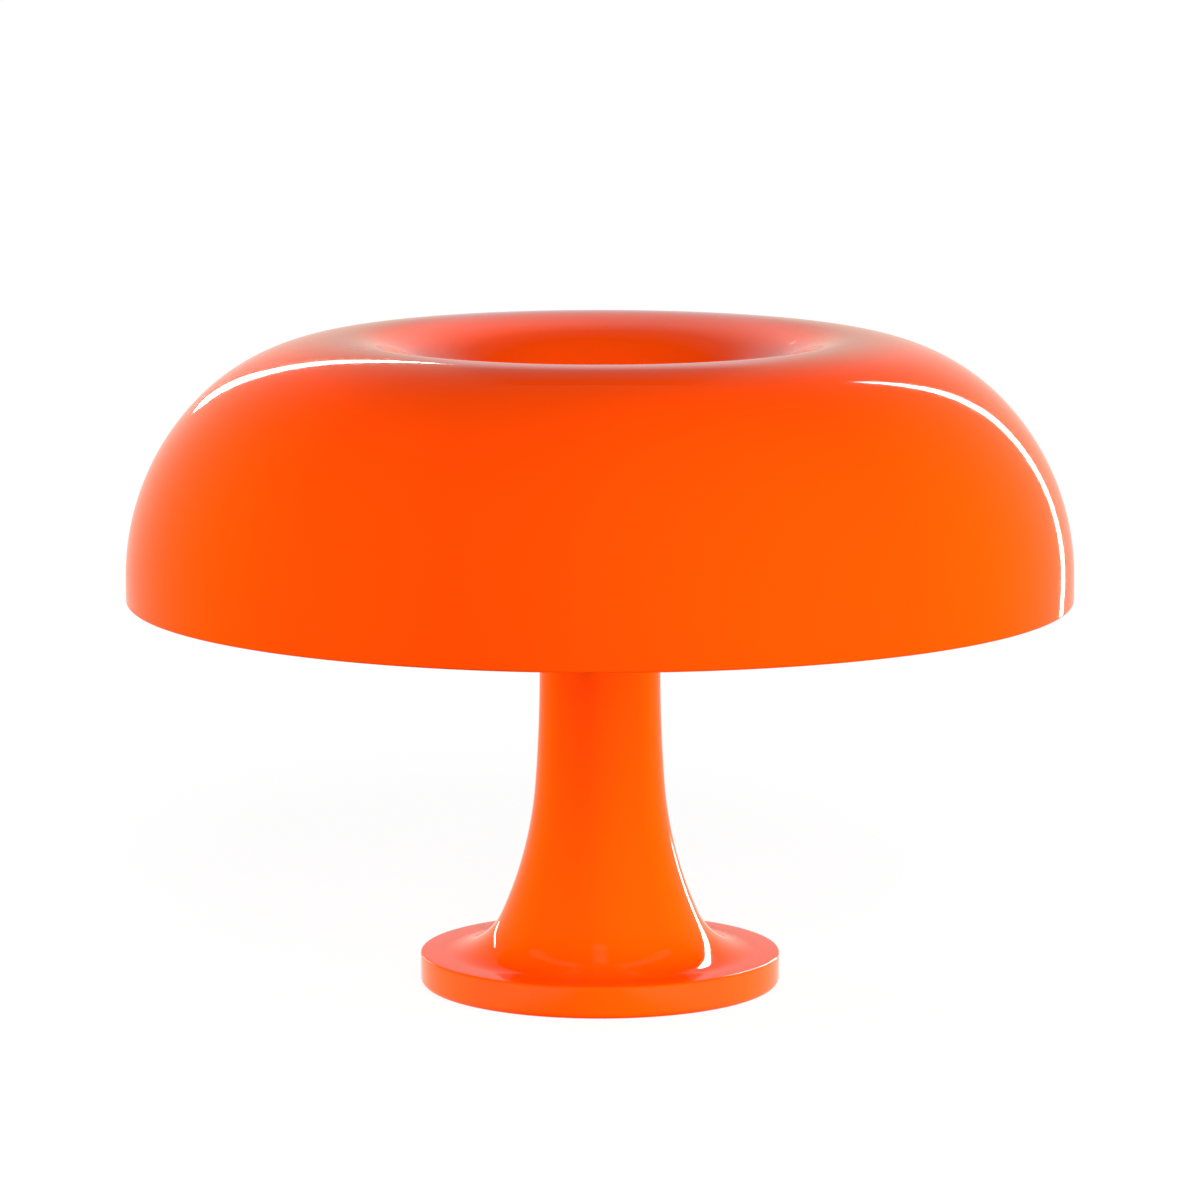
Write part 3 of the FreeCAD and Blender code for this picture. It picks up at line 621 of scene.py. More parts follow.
def makeHolders():
    v = holderValues
    face, radius, seam, groove = v["face"], v["radius"], v["seam"], v["groove"]
    rise = radius - v["rear"]
    domeArc = (rise ** 2 + v["dome"] ** 2) / (2 * rise)
    domeStart = math.degrees(math.atan2(-v["dome"], v["rear"] - radius + domeArc))
    joint = face + v["capLength"]
    ridge = joint - v["grip"]  # a fine groove behind the joint, where fingers grip
    cap = turnPiece("rear_cap", [
        flat(v["entry"], face), *arc(flat(radius - domeArc, face + v["dome"]), domeArc, domeStart, 0, 6),
        flat(radius, ridge - groove), flat(radius - groove, ridge), flat(radius, ridge + groove),
        flat(radius, joint - seam), flat(radius - seam, joint), flat(radius - v["capWall"], joint),
        flat(radius - v["capWall"], face + v["seat"]), flat(v["well"], face + v["seat"]),
        flat(v["well"], face + v["nipple"]), flat(v["entry"], face + v["nipple"])])
    front = joint + v["skirtLength"]
    low, high = (face + place for place in v["clamp"])
    lip, mouth = v["lipEdge"], v["front"] - v["skirtWall"]
    skirt = turnPiece("front_skirt", [
        flat(radius - v["capWall"], joint), flat(radius - seam, joint), flat(radius, joint + seam), flat(radius, high),
        *corner(v["front"], front, v["frontEdge"], 0, 15),
        flat(mouth + lip, front), flat(mouth, front - lip),
        flat(radius - v["skirtWall"], high), flat(v["clampBore"], high), flat(v["clampBore"], low),
        flat(radius - v["capWall"], low)])
    fitRound([(cap, "rear_cap", "holder_cap", "base", "white_plastic"),
              (skirt, "front_skirt", "holder_skirt", "base", "white_plastic")])
    print("lampholders made")


makeHolders()


# globe bulbs, lengths outwards from the pad's face
bulbValues = {
    "tip": 19.2, "tipRadius": 2.4, "tipHeight": 1.2, "coneLength": 2.6, "crest": 6.9, "root": 6.3, "pitch": 2.82,
    "turns": 4, "threadStart": 23.5, "sleeve": 5.9, "collarStart": 38.6, "collar": 8.4, "collarEnd": 42.5,
    "neck": 8, "neckStart": 39, "neckEnd": 42.75, "globe": 22.5, "globeCentre": 74.7, "glass": 0.9, "rounds": 96,
    "capEdge": 0.3, "collarDip": 0.5, "collarRound": 0.6, "collarEdge": 0.2, "collarFit": 0.02, "collarSeat": 0.4,
    "coneFoot": (0.2, 0.7), "coneStep": 0.2, "coneShoulder": (0.4, 0.6), "coneTop": 0.3,
}


def globeSkin(depth):  # from the neck to the tip of the globe
    v = bulbValues
    reach = v["globeCentre"] - v["neckEnd"]
    flare = (reach ** 2 + v["neck"] ** 2 - v["globe"] ** 2) / (2 * (v["globe"] - v["neck"]))
    tilt = math.degrees(math.atan2(reach, v["neck"] + flare))
    face = holderValues["face"]
    return [
        flat(v["neck"] - depth, face + v["neckStart"]),
        *arc(flat(v["neck"] + flare, face + v["neckEnd"]), flare + depth, 180, 180 - tilt, 4),
        *arc(flat(0, face + v["globeCentre"]), v["globe"] - depth, -tilt, 90, 4),
    ]


def makeBulb():  # one of each piece, upright on the axis
    v = bulbValues
    face = holderValues["face"]
    globe = turnPiece("globe", globeSkin(v["glass"])[::-1] + globeSkin(0), v["rounds"], closed=False)
    start, collarLow, collarHigh = (face + v[key] for key in ("threadStart", "collarStart", "collarEnd"))
    coneEnd = face + v["tip"] + v["tipHeight"] + v["coneLength"]
    capEdge = v["capEdge"]
    inside, seat = v["neck"] + v["collarFit"], collarLow + v["collarSeat"]
    screwCap = turnPiece("screw_cap", [
        flat(v["sleeve"], coneEnd), flat(v["root"] - capEdge, coneEnd), flat(v["root"], coneEnd + capEdge),
        flat(v["root"], collarLow - v["collarDip"]),
        *corner(v["collar"], collarLow, v["collarRound"], 270, 18),
        *corner(v["collar"], collarHigh, v["collarEdge"], 0),
        flat(inside, collarHigh), flat(inside, seat), flat(v["sleeve"], seat)])
    joinPieces(screwCap, [windThread("capThread", start, v["turns"], v, 40)])
    coneLow = coneEnd - v["coneLength"]
    near, far = (v["tipRadius"] + out for out in v["coneFoot"])
    shoulder, drop = v["coneShoulder"]
    cone = turnPiece("glass_cone", [
        flat(0, coneLow), flat(near, coneLow), flat(far, coneLow + v["coneStep"]),
        flat(v["root"] - shoulder, coneEnd - drop), flat(v["root"] - v["coneTop"], coneEnd), flat(0, coneEnd)],
        64, closed=False)
    domeArc = (v["tipRadius"] ** 2 + v["tipHeight"] ** 2) / (2 * v["tipHeight"])
    half = math.degrees(math.asin(v["tipRadius"] / domeArc))
    tip = turnPiece("solder_tip", [*arc(flat(0, face + v["tip"] + domeArc), domeArc, 270, 270 + half, 6),
                                   flat(v["tipRadius"], coneLow), flat(0, coneLow)], 48, closed=False)
    return globe, screwCap, cone, tip


def makeBulbs():
    globe, screwCap, cone, tip = makeBulb()
    fitRound([(globe, "globe", "bulb_globe", "bulb_{}", "opal_glass"),
              (screwCap, "screw_cap", "bulb_cap", "bulb_{}", "nickel_cap"),
              (cone, "glass_cone", "bulb_insulator", "bulb_{}_foot", "black_glass"),
              (tip, "solder_tip", "bulb_tip", "bulb_{}_foot", "nickel_cap")])
    print("bulbs made")


makeBulbs()


# stud through web, turret and shade, with its nuts, washers and the gasket
studValues = {
    "bore": 3.5, "root": 4.5, "crest": 5, "pitch": 1, "low": 127.2, "top": 181, "chamfer": 0.3,
    "nutLows": (129.2, 162.8), "nutHeight": 4, "flats": 14, "nutBore": 5.05, "face": 6.8, "lead": 0.7,
    "washerLows": (133.2, 162), "washerHeight": 0.8, "washer": 8.5, "washerBore": 5.2, "ease": 0.15,
    "cornerSlope": 30, "turningPast": 1.5, "borePast": 1,
}


def easedRing(name, inner, outer, low, high, ease, steps=96):  # flat ring with rounded edges
    return turnPiece(name, [*corner(inner, low, ease, 180), *corner(outer, low, ease, 270),
                            *corner(outer, high, ease, 0), *corner(inner, high, ease, 90)], steps)


def makeNut(low):
    v = studValues
    deselectAll()
    bpy.ops.mesh.primitive_cylinder_add(vertices=6, radius=v["flats"] / 2 / math.cos(math.radians(30)) * mm,
                                        depth=v["nutHeight"] * mm)
    nut = bpy.context.active_object
    nut.name = "nut"
    putPlace(nut, (0, 0, low + v["nutHeight"] / 2), (0, 0, 30))
    high, reach = low + v["nutHeight"], v["flats"] / 2 + v["turningPast"]
    slope = math.tan(math.radians(v["cornerSlope"])) * (reach - v["face"])
    cutAway(nut, turnPiece("nutTurning", [flat(0, low), flat(v["face"], low), flat(reach, low + slope),
                                          flat(reach, high - slope), flat(v["face"], high), flat(0, high)],
                           64, closed=False), "INTERSECT")
    bore, lead, past = v["nutBore"], v["lead"], v["borePast"]
    wide = bore + lead + past
    cutAway(nut, turnPiece("nutBore", [flat(0, low - past), flat(wide, low - past), flat(bore, low + lead),
                                       flat(bore, high - lead), flat(wide, high + past), flat(0, high + past)],
                           64, closed=False))
    smoothEdges(nut, 25)
    return nut


def makeStud():
    v = studValues
    core, chamfer = v["root"], v["chamfer"]
    stud = turnPiece("hollow_stud", [
        flat(v["bore"], v["low"]), flat(core - chamfer, v["low"]), flat(core, v["low"] + chamfer),
        flat(core, v["top"] - chamfer), flat(core - chamfer, v["top"]), flat(v["bore"], v["top"])], 48)
    turns = int((v["top"] - v["low"] - 2 * chamfer) / v["pitch"]) - 1
    joinPieces(stud, [windThread("studThread", v["low"] + chamfer, turns, v, 32)])
    fit(stud, "base", "threaded_stud", "zinc_steel")
    first, second = (makeNut(low) for low in v["nutLows"])
    first.name = "hex_nuts"
    fit(joinPieces(first, [second]), "base", "stud_nuts", "zinc_steel")
    first, second = (easedRing("flat_washers", v["washerBore"], v["washer"], low, low + v["washerHeight"], v["ease"])
                     for low in v["washerLows"])
    fit(joinPieces(first, [second]), "base", "stud_washers", "zinc_steel")
    print("stud and nuts made")


makeStud()

gasketValues = {"inside": 12, "outside": 22, "low": 169, "top": 170, "ease": 0.4}


def makeGasket():
    v = gasketValues
    gasket = easedRing("soft_ring", v["inside"], v["outside"], v["low"], v["top"], v["ease"])
    fit(gasket, "base", "shade_gasket", "rubber")


makeGasket()


# knob in the funnel: finger scallops that run out on its dome
knobValues = {
    "seat": 174.5, "radius": 15, "height": 14.5, "dome": 3, "scallops": 10, "scallopRadius": 3.2, "scallopDepth": 1.3,
    "soften": 0.5, "points": 360, "pocket": 7.05, "pocketDepth": 9.5,
    "washerBore": 5.2, "washer": 11, "washerLow": 173, "washerEase": 0.25, "foot": 0.4, "touch": 0.05,
    "footRings": ((0.12, 0.12), (0.4, 0)),  # height, inset
    "rimRings": ((0.9, 0), (0.35, 0.12), (0, 0.42)),  # drop, inset
    "domeRings": ((0.9, 0.12), (1.6, 0.4), (2.5, 0.72), (3.6, 0.93),  # inset, how round
                  (5, 1), (7.5, 1), (10, 1), (12.5, 1), (14.2, 1)),
}


def knobReach(angle):  # radius of the wall at an angle, with softened scallops
    v = knobValues
    centre = v["radius"] + v["scallopRadius"] - v["scallopDepth"]
    step = math.tau / v["scallops"]
    off = (angle + step / 2) % step - step / 2
    inside = v["scallopRadius"] ** 2 - (centre * math.sin(off)) ** 2
    if inside < 0:
        return v["radius"]
    cut = centre * math.cos(off) - math.sqrt(inside)
    share = min(1, max(0, 0.5 + (cut - v["radius"]) / (2 * v["soften"])))
    return cut + (v["radius"] - cut) * share - v["soften"] * share * (1 - share)


def knobRing(piece, height, inset, rounded):  # drawn-out ring set to its height and reach
    v = knobValues
    bpy.ops.mesh.extrude_edges_move(TRANSFORM_OT_translate={"value": (0, 0, mm)})
    mesh = bmesh.from_edit_mesh(piece.data)
    for vert in mesh.verts:
        if vert.select:
            angle = math.atan2(vert.co.y, vert.co.x)
            reach = knobReach(angle) * (1 - rounded) + v["radius"] * rounded - inset
            vert.co = Vector((reach * math.cos(angle), reach * math.sin(angle), v["seat"] + height)) * mm
    bmesh.update_edit_mesh(piece.data)


def makeKnob():
    v = knobValues
    count, rim = v["points"], v["height"] - v["dome"]
    domeArc = (v["radius"] ** 2 + v["dome"] ** 2) / (2 * v["dome"])
    points = []
    for i in range(count):
        angle = i * math.tau / count
        reach = knobReach(angle) - v["foot"]
        points.append(Vector((reach * math.cos(angle), reach * math.sin(angle), v["seat"])) * mm)
    knob = drawLoop("finger_knob", points)
    for height, inset in v["footRings"]:
        knobRing(knob, height, inset, 0)
    for drop, inset in v["rimRings"]:
        knobRing(knob, rim - drop, inset, 0)
    for inset, rounded in v["domeRings"]:
        reach = v["radius"] - inset
        knobRing(knob, v["height"] - domeArc + math.sqrt(domeArc ** 2 - reach ** 2), inset, rounded)
    bpy.ops.mesh.merge(type="CENTER")
    selectWhere(knob, lambda place: place.z < (v["seat"] + v["touch"]) * mm)
    knobRing(knob, 0, v["radius"] - v["pocket"], 1)
    knobRing(knob, v["pocketDepth"], v["radius"] - v["pocket"], 1)
    bpy.ops.mesh.merge(type="CENTER")
    faceOut()
    smoothEdges(knob, 40)
    fit(knob, "knob", "shade_knob", "knob_plastic")
    washer = easedRing("bearing_washer", v["washerBore"], v["washer"], v["washerLow"], v["seat"], v["washerEase"])
    fit(washer, "knob_washer", "knob_washer", "zinc_steel")
    print("knob made:", len(knob.data.polygons), "faces")


makeKnob()


# underside: cover, screws, pads and the bush of the mains inlet
undersideValues = {
    "coverEase": 0.2, "bushEase": 0.3,
    "screwLow": 1, "screwHead": 3, "screwCore": 1.25, "headHeight": 1.6, "screwEnd": 8,
    "recessLength": 3.3, "recessWidth": 0.62, "recessDepth": 1.1, "screwCircle": 52.5, "screwAngles": (30, 150, 270),
    "pad": 6, "padTop": 1.8, "padEdge": 0.6, "padDish": 3.6, "dishDepth": 0.25,
    "padCircle": 44, "padAngles": (45, 135, 225, 315), "dishEdge": 0.4, "turn": 20,
    "headEdge": (0.15, 0.12), "pointLength": 0.7, "pointRadius": 0.5, "recessDraw": 0.5,
    "flatAngle": 1, "edgeAngle": 40, "smoothAngle": 60,
}


def easeNode(name, node, ease):  # merged copy of a solid with its edges eased
    v = undersideValues
    piece = bpy.data.objects.new(name, nodes[node].data.copy())
    bpy.context.collection.objects.link(piece)
    pick(piece)
    editMode()
    weldAll()
    bpy.ops.mesh.dissolve_limited(angle_limit=math.radians(v["flatAngle"]))
    objectMode()
    useModifier(piece, "BEVEL", width=ease * mm, segments=2, limit_method="ANGLE",
                angle_limit=math.radians(v["edgeAngle"]), use_clamp_overlap=False)
    smoothEdges(piece, v["smoothAngle"])
    useModifier(piece, "WEIGHTED_NORMAL", weight=100, keep_sharp=True)
    return piece


def makeScrew():  # upright under the middle, its head facing down
    v = undersideValues
    low, head, core, end = v["screwLow"], v["screwHead"], v["screwCore"], v["screwEnd"]
    inward, upward = v["headEdge"]
    screw = turnPiece("cover_screws", [
        flat(0, low), flat(head - inward, low), flat(head, low + upward), flat(core, low + v["headHeight"]),
        flat(core, end - v["pointLength"]), flat(v["pointRadius"], end), flat(0, end)], 48, closed=False)
    for turn in (0, 90):
        deselectAll()
        bpy.ops.mesh.primitive_cube_add(size=1)
        bar = bpy.context.active_object
        bar.scale = Vector((v["recessLength"], v["recessWidth"], 2 * v["recessDepth"])) * mm
        putPlace(bar, (0, 0, low), (0, 0, turn))
        editMode()  # drawn in towards its bottom
        selectWhere(bar, lambda place: place.z > low * mm)
        bpy.ops.transform.resize(value=(v["recessDraw"], v["recessDraw"], 1), center_override=(0, 0, low * mm))
        objectMode()
        cutAway(screw, bar)
    smoothEdges(screw, 30)
    return screw


def makePad():
    v = undersideValues
    return turnPiece("rubber_pads", [
        flat(0, v["dishDepth"]), flat(v["padDish"], v["dishDepth"]), flat(v["padDish"] + v["dishEdge"], 0),
        *corner(v["pad"], 0, v["padEdge"], 270, 15), flat(v["pad"], v["padTop"]), flat(0, v["padTop"])],
        48, closed=False)


def spread(piece, circle, angles):  # copies round the foot, joined to one piece
    copies = [copyPiece(piece, piece.name + "Copy") for angle in angles[1:]]
    for one, angle in zip([piece, *copies], angles):
        putPlace(one, heading(angle).xzy * circle, (0, 0, angle + undersideValues["turn"]))
    return joinPieces(piece, copies)


def makeUnderside():
    v = undersideValues
    fit(easeNode("bottom_cover", "base_cover", v["coverEase"]), "base", "base_cover", "cover_plastic")
    fit(easeNode("inlet_bush", "cord_grommet", v["bushEase"]), "base", "cord_grommet", "rubber")
    fit(spread(makeScrew(), v["screwCircle"], v["screwAngles"]), "base", "base_screws", "zinc_steel")
    fit(spread(makePad(), v["padCircle"], v["padAngles"]), "base", "rubber_feet", "rubber")
    print("underside made")


makeUnderside()


# camera, room and lamps

cameraValues = {"place": (0, -2.059, 0.44415), "aim": (0, 0, 0.13255), "lens": 184.55, "sensor": 36}


def aimAt(thing, target):
    thing.rotation_euler = (Vector(target) - thing.location).to_track_quat("-Z", "Y").to_euler()


def makeCamera():
    v = cameraValues
    deselectAll()
    bpy.ops.object.camera_add(location=v["place"])
    camera = bpy.context.active_object
    camera.name = "photoCamera"
    camera.data.lens = v["lens"]
    camera.data.sensor_width = v["sensor"]
    aimAt(camera, v["aim"])
    bpy.context.scene.camera = camera


makeCamera()

roomValues = {"dome": 18, "plain": 0.24, "behind": 0.75, "around": 0.03, "mirrorTint": (1, 0.92, 0.8, 1),
              "backFall": 3.0, "levelFall": 2.0,
              "floorSize": 24, "floorTone": 0.8, "floorGlow": 0.93, "floorShadow": 0.12}


def makeRoom():  # white to the eye and through glass, graded in reflections
    v = roomValues
    world = bpy.data.worlds.new("whiteRoom")
    world.use_nodes = True
    bpy.context.scene.world = world
    tree = world.node_tree
    tree.nodes.clear()
    rays = addNode(tree, "ShaderNodeLightPath")
    coords = addNode(tree, "ShaderNodeTexCoord")
    split = addNode(tree, "ShaderNodeSeparateXYZ", {0: (coords, "Generated")})
    back = calc(tree, "MAXIMUM", (split, "Y"), 0.0)
    backFall = calc(tree, "POWER", (back, 0), v["backFall"])
    steep = calc(tree, "MULTIPLY", (split, "Z"), (split, "Z"))
    level = calc(tree, "SUBTRACT", 1.0, (steep, 0))
    levelFall = calc(tree, "POWER", (level, 0), v["levelFall"])
    both = calc(tree, "MULTIPLY", (backFall, 0), (levelFall, 0))
    shown = calc(tree, "MULTIPLY_ADD", (both, 0), v["behind"], v["around"])
    mirrored = addNode(tree, "ShaderNodeBackground", {"Color": v["mirrorTint"], "Strength": (shown, 0)})
    white = addNode(tree, "ShaderNodeBackground", {"Color": (1, 1, 1, 1), "Strength": 1.0})
    seen = calc(tree, "MAXIMUM", (rays, "Is Camera Ray"), (rays, "Is Transmission Ray"))
    whole = addNode(tree, "ShaderNodeMixShader", {0: (seen, 0), 1: (mirrored, 0), 2: (white, 0)})
    addNode(tree, "ShaderNodeOutputWorld", {"Surface": (whole, 0)})


def clearFinish(name):  # its light is found by scattered rays, so that the lamps get every light sample
    material = bpy.data.materials.new(name)
    material.cycles.emission_sampling = "NONE"
    material.use_nodes = True
    material.node_tree.nodes.clear()
    return material, material.node_tree


def makeDome():  # plain light from all sides above the floor, in no reflection
    v = roomValues
    dome = turnPiece("plainDome", arc(flat(0, 0), v["dome"] / mm, 0, 90, 10), 32, closed=False)
    material, tree = clearFinish("plainDomeGlow")
    glow = addNode(tree, "ShaderNodeEmission", {"Strength": v["plain"]})
    addNode(tree, "ShaderNodeOutputMaterial", {"Surface": (glow, 0)})
    dome.data.materials.append(material)
    for ray in ("camera", "glossy", "transmission", "shadow"):
        setattr(dome, "visible_" + ray, False)
    dome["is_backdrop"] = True


def floorFinish():
    v = roomValues
    material, tree = clearFinish("paleFloor")
    rays = addNode(tree, "ShaderNodeLightPath")
    tone = addNode(tree, "ShaderNodeBsdfDiffuse", {"Color": (v["floorTone"],) * 3 + (1,)})
    shadow = addNode(tree, "ShaderNodeBsdfDiffuse", {"Color": (v["floorShadow"],) * 3 + (1,)})
    glow = addNode(tree, "ShaderNodeEmission", {"Strength": v["floorGlow"]})
    shown = addNode(tree, "ShaderNodeAddShader", {0: (shadow, 0), 1: (glow, 0)})
    top = addNode(tree, "ShaderNodeMixShader", {0: (rays, "Is Camera Ray"), 1: (tone, 0), 2: (shown, 0)})
    side = addNode(tree, "ShaderNodeNewGeometry")
    below = calc(tree, "MULTIPLY", (side, "Backfacing"), (rays, "Is Camera Ray"))
    clear = addNode(tree, "ShaderNodeBsdfTransparent")  # the underside can be looked at through it
    whole = addNode(tree, "ShaderNodeMixShader", {0: (below, 0), 1: (top, 0), 2: (clear, 0)})
    addNode(tree, "ShaderNodeOutputMaterial", {"Surface": (whole, 0)})
    return material


def makeFloor():
    deselectAll()
    bpy.ops.mesh.primitive_plane_add(size=roomValues["floorSize"])
    floor = bpy.context.active_object
    floor.name = "floor"
    floor.data.materials.append(floorFinish())
    floor.visible_glossy = False  # reflections see the graded room instead
    floor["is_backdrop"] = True


makeRoom()
makeDome()
makeFloor()


# bent strips and cards round the lamp, which only show as reflections; turn from the back, height and width
stripValues = {
    "reach": 1.2, "level": 30,
    "rightStrip": [(37.2, -0.1, 0.05), (36.6, 0.1, 0.05), (35, 0.35, 0.05), (32.5, 0.62, 0.05), (30.2, 0.77, 0.045),
                   (27.5, 0.905, 0.03), (25, 1.0, 0.015), (23, 1.07, 0.001)],
    "leftStrip": [(-22.2, 0.31, 0.05), (-22.6, 0.36, 0.06), (-22.2, 0.48, 0.06), (-21.2, 0.573, 0.055),
                  (-19.4, 0.627, 0.05), (-17.3, 0.66, 0.045), (-14.8, 0.672, 0.04), (-12.6, 0.667, 0.035),
                  (-10.7, 0.654, 0.03), (-9, 0.635, 0.023), (-7.6, 0.611, 0.016), (-6.3, 0.588, 0.01),
                  (-5.6, 0.584, 0.006), (-5, 0.594, 0.001)],
    "leftStemStrip": [(-24, 0.02, 0.004), (-28, 0.15, 0.014), (-32, 0.3, 0.018), (-35, 0.42, 0.02),
                      (-36, 0.55, 0.018), (-35.5, 0.66, 0.01)],
    "rightStemStrip": [(30, -0.04, 0.02), (32.5, 0.06, 0.07), (34, 0.25, 0.1), (34.9, 0.45, 0.115), (33.8, 0.6, 0.115),
                       (31, 0.72, 0.11), (27.7, 0.78, 0.105), (24, 0.808, 0.1), (20.2, 0.815, 0.1), (16, 0.79, 0.09),
                       (11.5, 0.707, 0.05)],
}
cardValues = {
    "back": {"half": 0.08, "place": 0.11, "low": 0.219, "high": 0.43, "level": 0.75, "soft": 0.035,
             "fade": ((0.0, 1.0), (0.22, 1.0), (0.33, 0.6), (0.4, 0.32), (0.55, 0.2), (0.8, 0.06), (1.0, 0.0))},
    "floor": {"radius": 0.3, "height": 0.0004, "level": 0.36, "fade": (0.015, 0.055)},
    "tent": {"radius": 1.1, "low": -12, "level": 0.25, "sides": 0.75, "middle": 0.2},
}


def glowOver(tree, strength):  # clear to the pieces it does not light
    glow = addNode(tree, "ShaderNodeEmission", {"Strength": strength})
    clear = addNode(tree, "ShaderNodeBsdfTransparent")
    both = addNode(tree, "ShaderNodeAddShader", {0: (glow, 0), 1: (clear, 0)})
    addNode(tree, "ShaderNodeOutputMaterial", {"Surface": (both, 0)})


def findAside(tree):  # place on a card, and the distance left or right of its middle
    coords = addNode(tree, "ShaderNodeTexCoord")
    split = addNode(tree, "ShaderNodeSeparateXYZ", {0: (coords, "Object")})
    return split, calc(tree, "ABSOLUTE", (split, "X"))


def lightOnly(thing, lit):
    takers = bpy.data.collections.new(thing.name + "Lights")
    for piece in lit:
        takers.objects.link(piece)
    thing.light_linking.receiver_collection = takers


def mirrorOnly(card, material, lit):  # seen in the gloss of the pieces it lights and nowhere else
    card.data.materials.clear()
    card.data.materials.append(material)
    for ray in ("camera", "diffuse", "transmission", "shadow"):
        setattr(card, "visible_" + ray, False)
    lightOnly(card, lit)
    card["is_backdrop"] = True


def makeStrip(name, glow, lit):
    path = stripValues[name]
    reach = stripValues["reach"]
    middle = [Vector((reach * math.sin(math.radians(turn)), reach * math.cos(math.radians(turn)), height))
              for turn, height, width in path]
    edges = ([], [])
    for i, place in enumerate(middle):
        along = middle[min(i + 1, len(middle) - 1)] - middle[max(i - 1, 0)]
        aside = along.cross(Vector((place.x, place.y, 0))).normalized() * path[i][2] / 2
        edges[0].append(place + aside)
        edges[1].append(place - aside)
    mirrorOnly(fillLine(name, edges[0] + edges[1][::-1]), glow, [bpy.data.objects[lit]])


def makeStrips():
    glow, tree = clearFinish("stripGlow")
    rays = addNode(tree, "ShaderNodeLightPath")
    direct = calc(tree, "LESS_THAN", (rays, "Glossy Depth"), 1.5)  # in no reflection of a reflection
    glowOver(tree, (calc(tree, "MULTIPLY", (direct, 0), stripValues["level"]), 0))
    makeStrip("rightStrip", glow, "shade_shell")
    makeStrip("leftStrip", glow, "shade_shell")
    makeStrip("rightStemStrip", glow, "foot_and_stem")
    makeStrip("leftStemStrip", glow, "foot_and_stem")


def makeBackCard():  # soft card close behind the far crest, which also hides the strips from the funnel
    v = cardValues["back"]
    half, low, high = v["half"], v["low"], v["high"]
    corners = ((-half, low), (half, low), (half, high), (-half, high))
    card = fillLine("backCard", [Vector((x, v["place"], z)) for x, z in corners])
    material, tree = clearFinish("backCardGlow")
    split, aside = findAside(tree)
    up = addNode(tree, "ShaderNodeMapRange", {"Value": (split, "Z"), 1: low, 2: high})
    ramp = addNode(tree, "ShaderNodeValToRGB", {0: (up, "Result")})
    stops = ramp.color_ramp.elements
    while len(stops) < len(v["fade"]):
        stops.new(0.5)
    for stop, (place, share) in zip(stops, v["fade"]):
        stop.position = place
        stop.color = (share, share, share, 1)
    strength = calc(tree, "MULTIPLY", (ramp, "Color"), v["level"])
    glow = addNode(tree, "ShaderNodeEmission", {"Strength": (strength, 0)})
    fade = addNode(tree, "ShaderNodeMapRange", {"Value": (aside, 0), 1: half - v["soft"], 2: half, 3: 0.0, 4: 1.0},
                   interpolation_type="SMOOTHSTEP")
    face = addNode(tree, "ShaderNodeNewGeometry")
    away = calc(tree, "MAXIMUM", (fade, "Result"), (face, "Backfacing"))
    clear = addNode(tree, "ShaderNodeBsdfTransparent")
    whole = addNode(tree, "ShaderNodeMixShader", {0: (away, 0), 1: (glow, 0), 2: (clear, 0)})
    addNode(tree, "ShaderNodeOutputMaterial", {"Surface": (whole, 0)})
    mirrorOnly(card, material, [bpy.data.objects[name] for name in ("shade_shell", "finger_knob", "bearing_washer")])


def makeFloorCard():  # the pale floor close to the foot
    v = cardValues["floor"]
    rim = arc(flat(0, 0), v["radius"] / mm, 0, 360, 360 / 64)
    card = fillLine("floorCard", [Vector((point.x, point.z, v["height"])) for point in rim])
    material, tree = clearFinish("floorCardGlow")
    split, aside = findAside(tree)
    near, far = v["fade"]
    fade = addNode(tree, "ShaderNodeMapRange", {"Value": (aside, 0), 1: near, 2: far, 3: 0.0, 4: v["level"]},
                   interpolation_type="SMOOTHSTEP")
    glowOver(tree, (fade, "Result"))
    mirrorOnly(card, material, [bpy.data.objects["foot_and_stem"]])


def makeTent():  # white tent, brighter at its sides, for the metal and glass under the shade
    v = cardValues["tent"]
    dome = arc(flat(0, 0), v["radius"] / mm, v["low"], 90, 6)
    tent = turnPiece("tent", dome, 32, closed=False)
    material, tree = clearFinish("tentGlow")
    split, aside = findAside(tree)
    fade = addNode(tree, "ShaderNodeMapRange",
                   {"Value": (aside, 0), 1: v["middle"], 2: v["radius"], 3: v["level"], 4: v["level"] + v["sides"]})
    glowOver(tree, (fade, "Result"))
    mirrorOnly(tent, material, innerPieces)


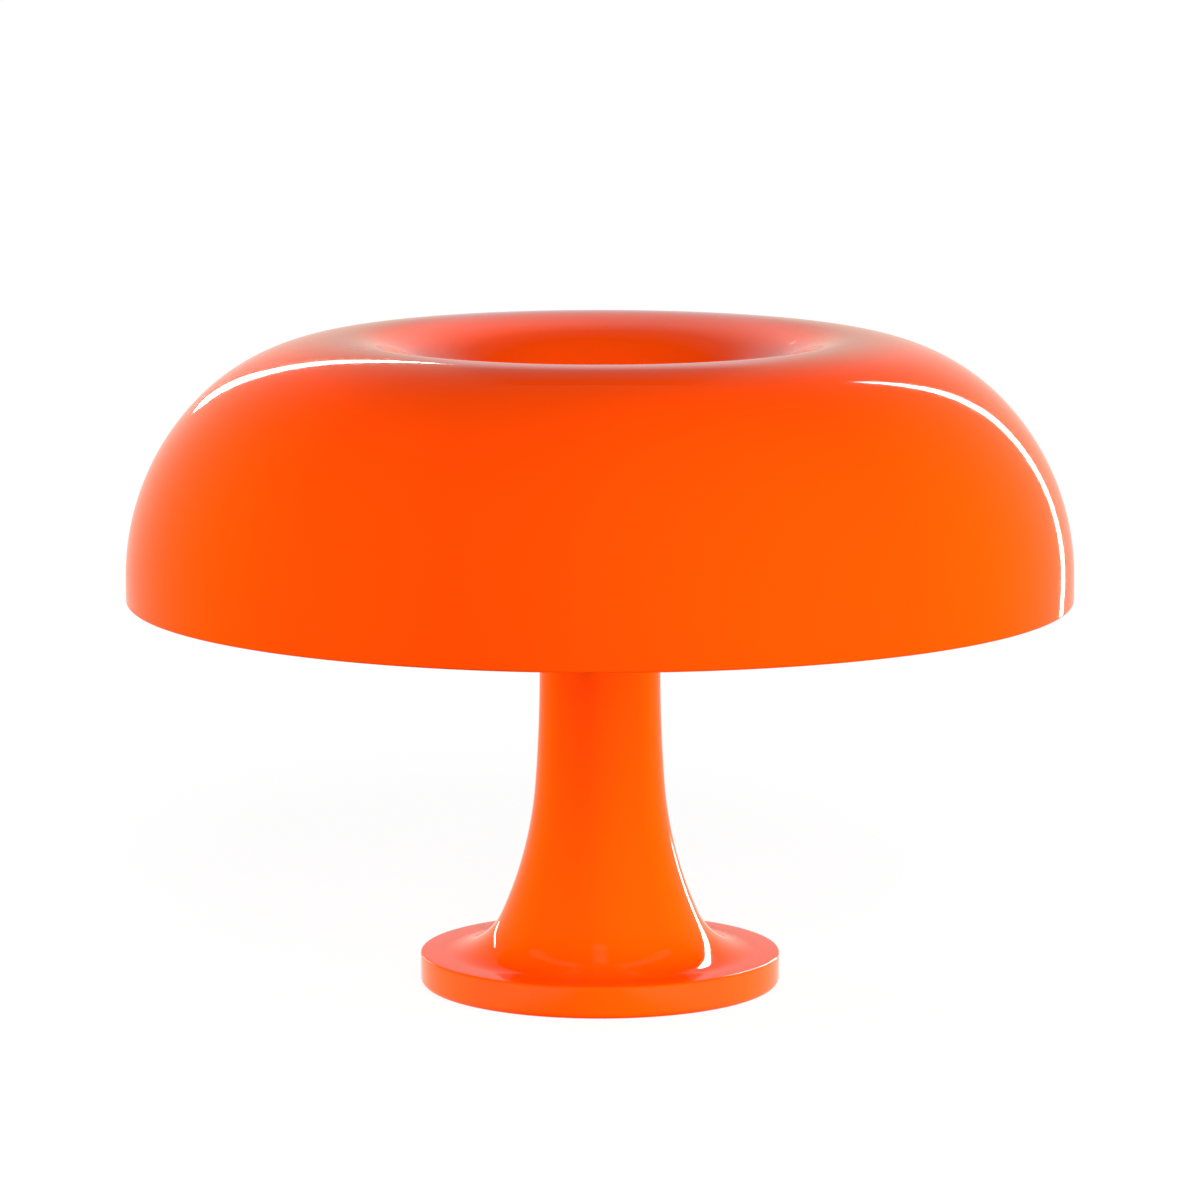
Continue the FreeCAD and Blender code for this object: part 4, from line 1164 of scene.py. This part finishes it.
outerPieces = [bpy.data.objects["shade_shell"], bpy.data.objects["foot_and_stem"]]
innerPieces = [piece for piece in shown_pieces() if piece not in outerPieces]
makeStrips()
makeBackCard()
makeFloorCard()
makeTent()
print("strips and cards set up")


# soft lamps far away: turn from the front, rise, width of the source in degrees, level on a white card,
# and a lower level for the pale pieces under the shade
lampValues = {
    "frontLamp": {"turn": 8, "rise": 28, "wide": 24, "level": 0.7, "inner": 0.45},
    "rightLamp": {"turn": 72, "rise": 2, "wide": 3.6, "level": 1.1, "inner": 0.55},
    "rightBackLamp": {"turn": 128, "rise": 2, "wide": 3.6, "level": 1.5, "inner": 0.45},
    "leftLamp": {"turn": -98, "rise": 2, "wide": 3.6, "level": 0.9, "inner": 0.4},
    "leftBackLamp": {"turn": -130, "rise": 2, "wide": 3.6, "level": 1.45, "inner": 0.4},
    "leftStemLamp": {"turn": -50, "rise": 9, "wide": 17, "level": 0.42, "only": "foot_and_stem"},
    "rightStemLamp": {"turn": 45, "rise": 9, "wide": 17, "level": 0.4, "only": "foot_and_stem"},
}


lampReach = 3  # where a lamp stands; its light is the same from any distance


def makeLamp(name, v, level, lit):
    turn, rise = math.radians(v["turn"]), math.radians(v["rise"])
    place = Vector((math.sin(turn) * math.cos(rise), -math.cos(turn) * math.cos(rise), math.sin(rise))) * lampReach
    deselectAll()
    bpy.ops.object.light_add(type="SUN", location=place)
    lamp = bpy.context.active_object
    lamp.name = name
    lamp.data.energy = level * math.pi
    lamp.data.angle = math.radians(v["wide"])
    aimAt(lamp, (0, 0, 0))
    lamp.visible_glossy = False
    lamp.data.cycles.use_multiple_importance_sampling = False  # scattered rays end on the dome and would miss it
    lightOnly(lamp, lit)


def makeLamps():
    floor = bpy.data.objects["floor"]
    for name, v in lampValues.items():
        makeLamp(name, v, v["level"], [bpy.data.objects[v["only"]]] if "only" in v else outerPieces + [floor])
        if "inner" in v:
            makeLamp(name + "Inner", v, v["inner"], innerPieces)


makeLamps()
bpy.context.scene.view_settings.view_transform = "Standard"
bpy.context.scene.cycles.use_light_tree = False  # with it the low lamps missed the base in some renders
